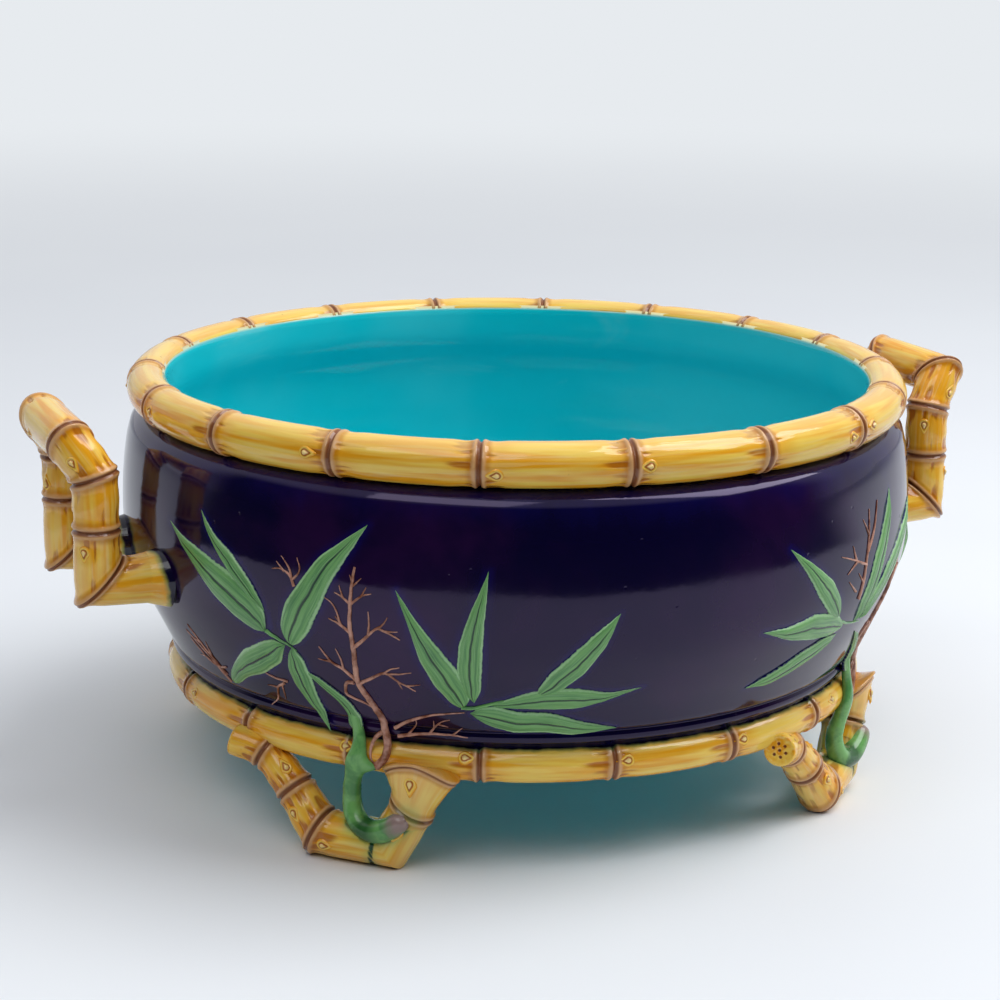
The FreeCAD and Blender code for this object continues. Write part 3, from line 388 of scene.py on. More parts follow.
def close_shell(mesh):
    """Welds doubled points, turns faces outwards and shades the piece smooth."""
    work = bmesh.new()
    work.from_mesh(mesh)
    bmesh.ops.remove_doubles(work, verts=work.verts, dist=2e-6)
    bmesh.ops.recalc_face_normals(work, faces=work.faces)
    work.to_mesh(mesh)
    work.free()
    mesh.polygons.foreach_set("use_smooth", [True] * len(mesh.polygons))
    mesh.update()


def grid_faces(rows, columns, wrap_columns=False):
    """Quads of a grid of points stored row by row."""
    faces = []
    for i in range(rows - 1):
        for j in range(columns if wrap_columns else columns - 1):
            k, m = i + 1, (j + 1) % columns
            faces.append((i * columns + j, i * columns + m, k * columns + m, k * columns + j))
    return faces


def dress(piece, slot, *nodes):
    """Rides on the one body and stands for its CAD nodes."""
    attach(piece, "root")
    if nodes:
        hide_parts(*nodes)
    return piece


def settle(piece):
    """Turns a piece's modifiers into plain mesh."""
    graph = bpy.context.evaluated_depsgraph_get()
    mesh = bpy.data.meshes.new_from_object(piece.evaluated_get(graph))
    mesh.name = piece.name
    old = piece.data
    piece.modifiers.clear()
    piece.data = mesh
    bpy.data.meshes.remove(old)
    close_shell(mesh)
    return piece


# ---------------------------------------------------------------- geometry node trees


def new_tree(name, sockets):
    """A geometry tree with a geometry input and output, and its named inputs."""
    tree = bpy.data.node_groups.new(name, "GeometryNodeTree")
    tree.interface.new_socket("Geometry", in_out="INPUT", socket_type="NodeSocketGeometry")
    for label, kind, default in sockets:
        socket = tree.interface.new_socket(label, in_out="INPUT", socket_type="NodeSocket" + kind)
        if default is not None:
            socket.default_value = default
    tree.interface.new_socket("Geometry", in_out="OUTPUT", socket_type="NodeSocketGeometry")
    return tree, tree.nodes.new("NodeGroupInput"), tree.nodes.new("NodeGroupOutput")


def finish_tree(tree, source, entry, end):
    """Ends a tree with Realize Instances, smooth shading and Set Material."""
    realize = tree.nodes.new("GeometryNodeRealizeInstances")
    shade = tree.nodes.new("GeometryNodeSetShadeSmooth")
    material = tree.nodes.new("GeometryNodeSetMaterial")
    tree.links.new(source, realize.inputs["Geometry"])
    tree.links.new(realize.outputs[0], shade.inputs[0])
    tree.links.new(shade.outputs[0], material.inputs["Geometry"])
    tree.links.new(entry.outputs["Glaze"], material.inputs["Material"])
    tree.links.new(material.outputs[0], end.inputs[0])


def read_attribute(tree, name, kind="FLOAT"):
    node = tree.nodes.new("GeometryNodeInputNamedAttribute")
    node.data_type = kind
    node.inputs["Name"].default_value = name
    return node.outputs["Attribute"]


def internode_ring_tree():
    """Repeats one bamboo internode round a ring and numbers each copy."""
    tree, entry, end = new_tree(
        "Ring of internodes",
        [("Internodes", "Int", 18), ("First node", "Float", 0.0), ("Glaze", "Material", None)])
    line = tree.nodes.new("GeometryNodeMeshLine")
    line.inputs["Offset"].default_value = (0.0, 0.0, 0.0)
    index = tree.nodes.new("GeometryNodeInputIndex")
    step = tree.nodes.new("ShaderNodeMath")
    step.operation = "DIVIDE"
    step.inputs[0].default_value = math.tau
    angle = tree.nodes.new("ShaderNodeMath")
    angle.operation = "MULTIPLY_ADD"
    turn = tree.nodes.new("ShaderNodeCombineXYZ")
    copies = tree.nodes.new("GeometryNodeInstanceOnPoints")
    number = tree.nodes.new("GeometryNodeStoreNamedAttribute")
    number.data_type, number.domain = "FLOAT", "INSTANCE"
    number.inputs["Name"].default_value = "internode"
    link = tree.links.new
    link(entry.outputs["Internodes"], line.inputs["Count"])
    link(entry.outputs["Internodes"], step.inputs[1])
    link(index.outputs[0], angle.inputs[0])
    link(step.outputs[0], angle.inputs[1])
    link(entry.outputs["First node"], angle.inputs[2])
    link(angle.outputs[0], turn.inputs["Z"])
    link(line.outputs[0], copies.inputs["Points"])
    link(entry.outputs["Geometry"], copies.inputs["Instance"])
    link(turn.outputs[0], copies.inputs["Rotation"])
    link(copies.outputs[0], number.inputs["Geometry"])
    link(index.outputs[0], number.inputs["Value"])
    finish_tree(tree, number.outputs["Geometry"], entry, end)
    return tree


def stem_tree():
    """Sweeps a round stem along edges, as thick as each point says."""
    tree, entry, end = new_tree("Swept stem", [("Sides", "Int", 8), ("Glaze", "Material", None)])
    curve = tree.nodes.new("GeometryNodeMeshToCurve")
    radius = tree.nodes.new("GeometryNodeSetCurveRadius")
    ring = tree.nodes.new("GeometryNodeCurvePrimitiveCircle")
    ring.inputs["Radius"].default_value = 1.0
    sweep = tree.nodes.new("GeometryNodeCurveToMesh")
    sweep.inputs["Fill Caps"].default_value = True
    link = tree.links.new
    link(entry.outputs["Geometry"], curve.inputs["Mesh"])
    link(curve.outputs[0], radius.inputs["Curve"])
    link(read_attribute(tree, "thickness"), radius.inputs["Radius"])
    link(entry.outputs["Sides"], ring.inputs["Resolution"])
    link(radius.outputs[0], sweep.inputs["Curve"])
    link(ring.outputs[0], sweep.inputs["Profile Curve"])
    if "Scale" in sweep.inputs:
        link(read_attribute(tree, "thickness"), sweep.inputs["Scale"])
    finish_tree(tree, sweep.outputs[0], entry, end)
    return tree


def bud_tree():
    """Sets one modelled bud on each point, turned and sized as the point says."""
    tree, entry, end = new_tree("Buds on a rod", [("Bud", "Object", None), ("Glaze", "Material", None)])
    bud = tree.nodes.new("GeometryNodeObjectInfo")
    copies = tree.nodes.new("GeometryNodeInstanceOnPoints")
    link = tree.links.new
    link(entry.outputs["Bud"], bud.inputs["Object"])
    link(entry.outputs["Geometry"], copies.inputs["Points"])
    link(bud.outputs["Geometry"], copies.inputs["Instance"])
    link(read_attribute(tree, "turn", "FLOAT_VECTOR"), copies.inputs["Rotation"])
    link(read_attribute(tree, "size"), copies.inputs["Scale"])
    finish_tree(tree, copies.outputs[0], entry, end)
    return tree


def run_tree(piece, tree, **inputs):
    """Runs a tree on a piece with its inputs set by their identifiers, then settles it."""
    modifier = piece.modifiers.new(tree.name, "NODES")
    modifier.node_group = tree
    for item in tree.interface.items_tree:
        key = item.name.lower().replace(" ", "_")
        if item.in_out == "INPUT" and key in inputs:
            modifier[item.identifier] = inputs[key]
    return settle(piece)


def shared_tree(make, name):
    return bpy.data.node_groups.get(name) or make()


# ---------------------------------------------------------------- bamboo rods


RING_FLUTE = 0.28 * MM  # depth of the hollows beside a node of a ring
ROD_FLUTE = 0.32 * MM  # and of a handle or foot
BUD_SIZE = 0.9


def node_profile(gap):
    """Height of the rod's skin over its plain radius at a distance from the nearest node."""
    gap = np.asarray(gap) / MM
    lips = sizes().node_lip * np.exp(-((gap - 1.6) / 0.9) ** 2)
    groove = -sizes().node_groove * np.exp(-(gap / 0.62) ** 2)
    waist = -0.35 * MM * np.exp(-((gap - 5.6) / 3.0) ** 2)
    return lips + groove + waist


def node_steps(run, step=2.4 * MM):
    """Distances along a run between two nodes, close together near both ends."""
    near = np.array([0, 0.3, 0.6, 0.95, 1.3, 1.75, 2.2, 2.7, 3.2, 3.8, 4.6, 5.8, 7.2]) * MM
    near = near[near < run * 0.46]
    inner = run - 2 * near[-1]
    middle = near[-1] + np.linspace(0.0, inner, max(int(inner / step), 2) + 1)[1:-1]
    return np.concatenate([near, middle, (run - near)[::-1]])


def smooth(low, high, value):
    share = min(max((value - low) / (high - low), 0.0), 1.0)
    return share * share * (3 - 2 * share)


def flute(turn, gap, number):
    """How deep a lengthwise hollow is beside a node, from 0 to 1."""
    beat = noise.noise(Vector((3.4 * math.cos(turn), 3.4 * math.sin(turn), number * 5.7 + 0.3)))
    reach = 11.0 + 9.0 * noise.noise(Vector((2.2 * math.cos(turn), 2.2 * math.sin(turn), number * 3.1)))
    return smooth(0.02, 0.34, beat) * (1 - smooth(0.35 * reach, reach, gap / MM)) * smooth(1.2, 3.6, gap / MM)


def ring_internode(radius, height, rod, seam, inner_face):
    """One bamboo internode bent round the bowl, from one node to the next."""
    sides = 72
    run = radius * math.tau / sizes().node_count
    steps = node_steps(run)
    around = np.arange(sides) * math.tau / sides
    gaps = np.minimum(steps, run - steps)
    points, straight, gap_column, bleed, hollows = [], [], [], [], []
    seam = math.radians(seam)
    for step, gap in zip(steps, gaps):
        for turn in around:
            hollow = flute(turn, gap, 1.0 if step < run / 2 else 2.0)
            skin = rod + float(node_profile(gap)) - RING_FLUTE * hollow
            r, z = max(radius + skin * math.cos(turn), inner_face), height + skin * math.sin(turn)
            hollows.append(hollow)
            angle = step / radius
            points.append((r * math.cos(angle), r * math.sin(angle), z))
            straight.append((rod * math.cos(turn), rod * math.sin(turn), step))
            gap_column.append(gap)
            bleed.append(rod * min((seam - turn) % math.tau, (turn - seam) % math.tau))
    shell = Shell()
    shell.add(points, grid_faces(len(steps), sides, wrap_columns=True), straight=straight,
              node_gap=gap_column, seat_gap=bleed, flute=hollows)
    return shell


def make_ring(name, radius, height, rod, seam, inner_face, buds):
    """A bamboo rod bent round the bowl, with its buds."""
    shell = ring_internode(radius, height, rod, seam, inner_face)
    glaze = bamboo_glaze()
    piece = shell.piece(name, [glaze])
    tree = shared_tree(internode_ring_tree, "Ring of internodes")
    run_tree(piece, tree, internodes=sizes().node_count, first_node=sizes().node_start, glaze=glaze)
    dress(piece, "bamboo_glaze", name)
    spots = []
    for angle, turn in buds:
        angle, turn = math.radians(angle), math.radians(turn)
        out = Vector((math.cos(angle) * math.cos(turn), math.sin(angle) * math.cos(turn), math.sin(turn)))
        centre = Vector((radius * math.cos(angle), radius * math.sin(angle), height))
        gap = ((angle - sizes().node_start) % (math.tau / sizes().node_count)) * sizes().node_count / math.tau
        along = Vector((-math.sin(angle), math.cos(angle), 0.0)) * (-1.0 if gap < 0.5 else 1.0)
        spots.append((centre + out * rod, out, along, 0.92))
    make_buds(name + "_buds", spots)


class Rod:
    """A mitred bamboo rod: stations are (point, has a node, radius)."""

    def __init__(self, stations, side, sides=64, step=2.4 * MM):
        self.step = step
        self.stations = [(Vector(p) * MM, node, radius * MM) for p, node, radius in stations]
        self.sides = sides
        places = [s[0] for s in self.stations]
        ways = [(b - a).normalized() for a, b in zip(places, places[1:])]
        self.ways = ways
        self.planes = [ways[0]] + [(a + b).normalized() for a, b in zip(ways, ways[1:])] + [ways[-1]]
        first = (Vector(side) - ways[0] * Vector(side).dot(ways[0])).normalized()
        second = ways[0].cross(first)
        self.frames = [(first, second)]
        for plane in self.planes[1:-1]:
            first = first - plane * (2 * first.dot(plane))
            second = second - plane * (2 * second.dot(plane))
            self.frames.append((first, second))

    def outward(self, span, turn):
        first, second = self.frames[span]
        return first * math.cos(turn) + second * math.sin(turn)

    def spot(self, span, share, turn):
        """A point on the rod's skin with its outward and lengthwise directions."""
        start, end = self.stations[span], self.stations[span + 1]
        out = self.outward(span, turn)
        radius = start[2] + (end[2] - start[2]) * share
        return start[0].lerp(end[0], share) + out * radius, out, self.ways[span]

    def skin(self, shell, number):
        """Adds the rod's skin to a shell, run by run."""
        past = 0.0
        for span, way in enumerate(self.ways):
            (start, node_a, radius_a), (end, node_b, radius_b) = self.stations[span:span + 2]
            if node_a:
                number, past = number + 1, 0.0
            plane_a, plane_b = self.planes[span], self.planes[span + 1]
            run = (end - start).length
            shares = node_steps(run, self.step) / run
            points, straight, gaps, hollows = [], [], [], []
            for share in shares:
                radius = radius_a + (radius_b - radius_a) * share
                for j in range(self.sides):
                    turn = math.tau * j / self.sides
                    out = self.outward(span, turn)
                    lean_a, lean_b = out.dot(plane_a) / way.dot(plane_a), out.dot(plane_b) / way.dot(plane_b)
                    reach = run - radius * (lean_b - lean_a)
                    gap_a = share * reach if node_a else 1.0
                    gap_b = (1 - share) * reach if node_b else 1.0
                    gap = min(gap_a, gap_b)
                    hollow = flute(turn, gap, number + (0.5 if share < 0.5 else 0.0))
                    skin = radius + float(node_profile(gap)) - ROD_FLUTE * hollow
                    hollows.append(hollow)
                    place = (1 - share) * -skin * lean_a + share * (run - skin * lean_b)
                    points.append(start + out * skin + way * place)
                    straight.append((radius * math.cos(turn), radius * math.sin(turn), past + share * run))
                    gaps.append(gap)
            shell.add(points, grid_faces(len(shares), self.sides, wrap_columns=True), straight=straight,
                      node_gap=gaps, seat_gap=0.02, flute=hollows, internode=float(number))
            past += run


def hole_depth(x, y):
    """How deep the holes of a cut cane are, from 0 to 1: one in its middle and six round it."""
    deepest = 0.0
    for k in range(7):
        turn = math.tau * k / 6 + 0.3
        away = 0.0 if k == 6 else 2.7
        near = math.hypot(x - away * math.cos(turn), y - away * math.sin(turn))
        deepest = max(deepest, 1 - smooth(0.35, 0.95, near))
    return deepest


def end_cap(shell, rod, at_start, rows, number, holes=False):
    """Closes one end of a rod with rings of (share of the radius, step outwards)."""
    span = 0 if at_start else len(rod.ways) - 1
    centre, _, radius = rod.stations[0 if at_start else -1]
    out_way = -rod.ways[0] if at_start else rod.ways[-1]
    points, straight, marks = [], [], []
    for share, step in rows:
        for j in range(rod.sides):
            turn = math.tau * j / rod.sides
            out = rod.outward(span, turn)
            x, y = radius * share * math.cos(turn), radius * share * math.sin(turn)
            hole = hole_depth(x / MM, y / MM) if holes else 0.0
            points.append(centre + out * (radius * share) + out_way * ((step - 0.7 * hole) * MM))
            straight.append((x, y, -step * MM))
            marks.append(hole)
    faces = grid_faces(len(rows), rod.sides, wrap_columns=True)
    shell.add(points, faces, straight=straight, node_gap=0.012, seat_gap=0.02, internode=float(number),
              hole=marks)


def make_bud_pattern():
    """One bud: a pale dome in a teardrop hollow with a raised edge, drawn out along the rod."""
    rings, sides = 15, 28
    points, marks = [(0.0, 0.0, 0.95 * MM)], [1.0]
    reach = 3.0
    for i in range(1, rings):
        share = i / (rings - 1)
        for j in range(sides):
            turn = math.tau * j / sides
            tail = 1.0 + 0.85 * max(math.cos(turn), 0.0) ** 7
            x, y = reach * share * tail * math.cos(turn), reach * share * math.sin(turn)
            dome = 0.95 * max(1 - (share / 0.40) ** 2, 0.0) ** 0.8
            hollow = -0.10 * math.exp(-((share - 0.46) / 0.12) ** 2)
            lip = 0.20 * math.exp(-((share - 0.74) / 0.16) ** 2)
            fall = -0.55 * max(share - 0.82, 0.0) / 0.18
            curve = -y * y / (2 * 8.8)
            points.append((x * MM, y * MM, (dome + hollow + lip + fall + curve) * MM))
            marks.append(1.0 - share)
    faces = [(0, 1 + j, 1 + (j + 1) % sides) for j in range(sides)]
    faces += [tuple(1 + k for k in face) for face in grid_faces(rings - 1, sides, wrap_columns=True)]
    under = len(points)
    points.append((0.0, 0.0, -2.0 * MM))
    marks.append(0.0)
    last = 1 + (rings - 2) * sides
    faces += [(under, last + (j + 1) % sides, last + j) for j in range(sides)]
    shell = Shell()
    shell.add(points, faces, bud=marks)
    return shell


def make_buds(name, spots):
    """Buds on a rod: each spot is a place, the way out, the way of its tail and a size."""
    pattern = make_bud_pattern().piece("bud_pattern", [])
    mesh = bpy.data.meshes.new(name)
    mesh.from_pydata([tuple(place) for place, _, _, _ in spots], [], [])
    turns, scales = [], []
    for _, out, along, scale in spots:
        across = out.cross(along).normalized()
        turns.append(Matrix((along, across, out)).transposed().to_euler())
        scales.append(scale)
    write_attribute(mesh, "turn", turns)
    write_attribute(mesh, "size", scales)
    piece = put_in_scene(name, mesh)
    run_tree(piece, shared_tree(bud_tree, "Buds on a rod"), bud=pattern, glaze=bud_glaze())
    bpy.data.objects.remove(pattern)
    return dress(piece, "bamboo_glaze")


def bud_spots(rod, plan):
    """Places of buds on a rod, each with its tail away from the nearer node."""
    spots = []
    for span, share, turn in plan:
        place, out, along = rod.spot(span, share, turn)
        spots.append((place, out, along * (1 if share < 0.5 else -1), BUD_SIZE))
    return spots


# ---------------------------------------------------------------- shader helpers


def new_group(name, inputs, outputs):
    """A shader node group with named sockets, given as (name, kind, default)."""
    group = bpy.data.node_groups.new(name, "ShaderNodeTree")
    for label, kind, default in inputs:
        socket = group.interface.new_socket(label, in_out="INPUT", socket_type="NodeSocket" + kind)
        if default is not None:
            socket.default_value = default
    for label, kind in outputs:
        group.interface.new_socket(label, in_out="OUTPUT", socket_type="NodeSocket" + kind)
    return group, group.nodes.new("NodeGroupInput"), group.nodes.new("NodeGroupOutput")


class Shades:
    """Short ways to lay out the nodes of one tree."""

    def __init__(self, tree):
        self.tree = tree
        self.nodes = tree.nodes

    def put(self, socket, value):
        if isinstance(value, bpy.types.NodeSocket):
            self.tree.links.new(value, socket)
        elif value is not None:
            if hasattr(value, "__len__") and len(value) == 3 and socket.type == "RGBA":
                value = (*value, 1.0)
            socket.default_value = value

    def math(self, operation, a, b=None, c=None):
        node = self.nodes.new("ShaderNodeMath")
        node.operation = operation
        for socket, value in zip(node.inputs, (a, b, c)):
            self.put(socket, value)
        return node.outputs[0]

    def mix(self, share, a, b):
        node = self.nodes.new("ShaderNodeMix")
        node.data_type = "RGBA"
        self.put(node.inputs[0], share)
        self.put(node.inputs[6], a)
        self.put(node.inputs[7], b)
        return node.outputs[2]

    def wash(self, color, over, share, strength):
        """Lays a second glaze over a colour, at a strength."""
        return self.mix(self.math("MULTIPLY", share, strength), color, over)

    def sway(self, value, cloud, reach):
        """A value that a cloud pushes up or down by up to half a reach."""
        return self.math("ADD", value, self.math("MULTIPLY_ADD", cloud, reach, -reach / 2))

    def ramp(self, value, low, high, start=0.0, end=1.0):
        """A smooth step from start to end as a value goes from low to high."""
        node = self.nodes.new("ShaderNodeMapRange")
        node.interpolation_type = "SMOOTHSTEP"
        for socket, given in zip(node.inputs, (value, low, high, start, end)):
            self.put(socket, given)
        return node.outputs[0]

    def stretch(self, vector, scale):
        node = self.nodes.new("ShaderNodeMapping")
        self.put(node.inputs["Vector"], vector)
        self.put(node.inputs["Scale"], scale)
        return node.outputs[0]

    def cloud(self, vector, scale, detail=2.0, rough=0.5, warp=0.0):
        node = self.nodes.new("ShaderNodeTexNoise")
        self.put(node.inputs["Vector"], vector)
        for name, value in (("Scale", scale), ("Detail", detail), ("Roughness", rough), ("Distortion", warp)):
            self.put(node.inputs[name], value)
        return node.outputs["Fac"]

    def attribute(self, name, vector=False):
        node = self.nodes.new("ShaderNodeAttribute")
        node.attribute_name = name
        return node.outputs["Vector" if vector else "Fac"]

    def place(self):
        return self.nodes.new("ShaderNodeTexCoord").outputs["Object"]

    def split(self, vector):
        node = self.nodes.new("ShaderNodeSeparateXYZ")
        self.put(node.inputs[0], vector)
        return node.outputs

    def join(self, x, y, z):
        node = self.nodes.new("ShaderNodeCombineXYZ")
        for socket, value in zip(node.inputs, (x, y, z)):
            self.put(socket, value)
        return node.outputs[0]

    def toward_viewer(self, vector):
        """How far a place lies towards the photographer's side."""
        x, y, _ = self.split(vector)[:3]
        return self.math("MULTIPLY_ADD", x, -0.397, self.math("MULTIPLY", y, -0.918))

    def group(self, tree, **values):
        node = self.nodes.new("ShaderNodeGroup")
        node.node_tree = tree
        for name, value in values.items():
            self.put(node.inputs[name.replace("_", " ").capitalize()], value)
        return node.outputs


def fired_surface():
    """Ripples, pin holes and specks of a fired glaze, shared by every material."""
    known = bpy.data.node_groups.get("Fired surface")
    if known:
        return known
    group, entry, end = new_group(
        "Fired surface",
        [("Place", "Vector", None), ("Ripple size", "Float", 60.0), ("Ripple height", "Float", 1.0),
         ("Pin holes", "Float", 1.0)],
        [("Height", "Float"), ("Specks", "Float"), ("Roughness", "Float")])
    s = Shades(group)
    place = entry.outputs["Place"]
    ripple = s.cloud(place, entry.outputs["Ripple size"], 1.5, 0.45)
    fine = s.cloud(place, 420.0, 2.0, 0.5)
    cells = s.nodes.new("ShaderNodeTexVoronoi")
    s.put(cells.inputs["Vector"], place)
    cells.inputs["Scale"].default_value = 150.0
    chance = s.ramp(s.split(cells.outputs["Color"])[0], 0.86, 0.88)
    hole = s.math("MULTIPLY", s.ramp(cells.outputs["Distance"], 0.05, 0.11, 1.0, 0.0), chance)
    specks = s.math("MULTIPLY", hole, entry.outputs["Pin holes"])
    height = s.math("MULTIPLY", ripple, entry.outputs["Ripple height"])
    height = s.math("MULTIPLY_ADD", fine, 0.02, height)
    height = s.math("MULTIPLY_ADD", specks, -0.25, height)
    s.put(end.inputs["Height"], height)
    s.put(end.inputs["Specks"], specks)
    s.put(end.inputs["Roughness"], s.ramp(s.cloud(place, 30.0, 3.0), 0.3, 0.75, 0.055, 0.13))
    return group


def made_once(make):
    """Makes a glaze when it is first asked for, then hands out the same one."""
    name = make.__name__ + "_fired"

    def glaze():
        return bpy.data.materials.get(name) or make(name)
    return glaze


def new_material(name):
    material = bpy.data.materials.new(name)
    material.use_nodes = True
    shader = material.node_tree.nodes["Principled BSDF"]
    shader.inputs["IOR"].default_value = 1.5
    return material, shader, Shades(material.node_tree)


def coat(s, shader, color, gloss, height, strength, distance):
    """Gives a shader its colour, its gloss and its fine relief."""
    s.put(shader.inputs["Base Color"], color)
    s.put(shader.inputs["Roughness"], gloss)
    node = s.nodes.new("ShaderNodeBump")
    node.inputs["Strength"].default_value = strength
    node.inputs["Distance"].default_value = distance
    s.put(node.inputs["Height"], height)
    s.put(shader.inputs["Normal"], node.outputs[0])


@made_once
def bamboo_glaze(name):
    c = colours()
    material, shader, s = new_material(name)
    straight = s.attribute("straight", True)
    gap = s.attribute("node_gap")
    number = s.attribute("internode")
    shift = s.math("MULTIPLY", number, 0.173)
    x, y, z = s.split(straight)[:3]
    # patches of thicker and thinner glaze, drawn out along the rod
    flow = s.join(x, y, s.math("ADD", s.math("MULTIPLY", z, 0.07), shift))
    patches = s.cloud(flow, 240.0, 2.0, 0.5, 0.2)
    color = s.mix(s.ramp(patches, 0.40, 0.60), c.straw, c.amber)
    fibres = s.cloud(flow, 620.0, 1.0, 0.5)
    color = s.mix(s.ramp(fibres, 0.54, 0.70, 0.0, 0.3), color, c.amber)
    # darker towards both nodes, dark where the glaze pooled in the hollows there
    near = s.ramp(s.sway(gap, patches, 0.010), 0.002, 0.014, 1.0, 0.0)
    color = s.wash(color, c.amber, near, 0.55)
    pooled = s.math("MULTIPLY_ADD", s.cloud(flow, 900.0, 2.0), 0.5, s.attribute("flute"))
    tongue = s.ramp(pooled, 0.42, 1.05)
    color = s.wash(color, c.ochre, tongue, 0.85)
    ridge = s.ramp(fibres, 0.30, 0.46, 1.0, 0.0)
    color = s.wash(color, c.cream, ridge, 0.35)
    # paler over the top of the rod: a painted highlight
    top = s.ramp(s.sway(y, patches, 0.006), 0.004, 0.0088)
    color = s.wash(color, c.cream, top, 0.45)
    # the node: brown groove, tan lips and a dark line where the lips meet the rod
    gap_now = s.sway(gap, s.cloud(straight, 260.0, 2.0), 0.0012)
    color = s.wash(color, c.ochre, s.ramp(gap_now, 0.0030, 0.0052, 1.0, 0.0), 0.5)
    color = s.wash(color, c.node_tan, s.ramp(gap_now, 0.0018, 0.0031, 1.0, 0.0), 0.75)
    color = s.wash(color, c.node_brown, s.ramp(gap, 0.0006, 0.0016, 1.0, 0.0), 0.9)
    # brown in the holes of a cut cane
    color = s.mix(s.ramp(s.attribute("hole"), 0.25, 0.8), color, c.node_brown)
    # blue glaze creeps over from the wall
    creep = s.math("MULTIPLY_ADD", s.cloud(straight, 130.0, 2.0), 0.004, -0.0028)
    seat = s.math("ADD", s.attribute("seat_gap"), creep)
    color = s.mix(s.ramp(seat, 0.0010, 0.0030, 0.7, 0.0), color, c.leaf_dark)
    color = s.mix(s.ramp(seat, 0.0003, 0.0015, 1.0, 0.0), color, c.cobalt)
    # green from the shoots
    blots = s.ramp(s.cloud(straight, 150.0, 2.0), 0.25, 0.6, 0.5, 1.0)
    green = s.math("MULTIPLY", s.attribute("green_near"), blots)
    color = s.wash(color, c.shoot_green, green, 0.85)
    color = s.mix(s.ramp(green, 0.55, 0.95, 0.0, 0.75), color, c.shoot_pool)
    color = s.mix(s.ramp(s.attribute("crease"), 0.35, 0.8), color, c.shoot_pool)
    fired = s.group(fired_surface(), place=s.place(), ripple_size=120.0, ripple_height=0.5, pin_holes=0.6)
    color = s.wash(color, c.node_brown, fired["Specks"], 0.5)
    height = s.math("MULTIPLY_ADD", tongue, -0.7, fired["Height"])
    height = s.math("MULTIPLY_ADD", s.cloud(flow, 520.0, 2.0), 0.6, height)
    coat(s, shader, color, fired["Roughness"], height, 0.55, 0.0005)
    return material


@made_once
def bud_glaze(name):
    c = colours()
    material, shader, s = new_material(name)
    mark = s.attribute("bud")
    fired = s.group(fired_surface(), place=s.place(), ripple_size=200.0, ripple_height=0.4, pin_holes=0.0)
    here = s.sway(mark, s.cloud(s.place(), 500.0, 2.0), 0.12)
    color = s.mix(s.ramp(here, 0.10, 0.34), c.amber, c.straw)
    color = s.mix(s.ramp(here, 0.36, 0.54), color, c.ochre)
    color = s.mix(s.ramp(here, 0.60, 0.74), color, c.cream)
    coat(s, shader, color, fired["Roughness"], fired["Height"], 0.3, 0.0004)
    return material


GLAZE_TINT = (0.74, 0.62, 0.92)  # the manganese in the wall's glaze tints what it mirrors


@made_once
def cobalt_glaze(name):
    c = colours()
    material, shader, s = new_material(name)
    place = s.place()
    height_up = s.split(place)[2]
    fired = s.group(fired_surface(), place=place, ripple_size=16.0, ripple_height=1.0, pin_holes=1.0)
    cast = s.cloud(place, 14.0, 4.0, 0.6, 0.4)
    color = s.mix(s.ramp(cast, 0.42, 0.70), c.cobalt, c.manganese)
    runs = s.cloud(s.stretch(place, (1.0, 1.0, 0.25)), 60.0, 3.0, 0.6)
    neck = s.ramp(s.sway(height_up, runs, 0.020), 0.141, 0.160)
    color = s.wash(color, c.cobalt_bright, neck, 0.5)
    bleed = s.math("MULTIPLY", s.attribute("relief_near"), s.ramp(runs, 0.3, 0.6, 0.5, 1.0))
    color = s.mix(bleed, color, c.cobalt_bright)
    shader.inputs["Specular Tint"].default_value = (*GLAZE_TINT, 1.0)
    coat(s, shader, color, fired["Roughness"], fired["Height"], 0.25, 0.002)
    return material


@made_once
def turquoise_glaze(name):
    c = colours()
    material, shader, s = new_material(name)
    place = s.place()
    fired = s.group(fired_surface(), place=place, ripple_size=12.0, ripple_height=1.0, pin_holes=0.5)
    depth = s.cloud(place, 9.0, 3.0, 0.55)
    color = s.mix(s.ramp(depth, 0.35, 0.65), c.turquoise, c.turquoise_deep)
    streaks = s.cloud(s.stretch(place, (1.0, 1.0, 2.2)), 13.0, 4.0, 0.6, 0.8)
    color = s.mix(s.ramp(streaks, 0.58, 0.80, 0.0, 0.5), color, c.turquoise_pale)
    lip = s.ramp(s.split(place)[2], 0.1688, 0.1708)
    color = s.wash(color, c.cream, lip, 0.8)
    coat(s, shader, color, fired["Roughness"], fired["Height"], 0.2, 0.002)
    return material


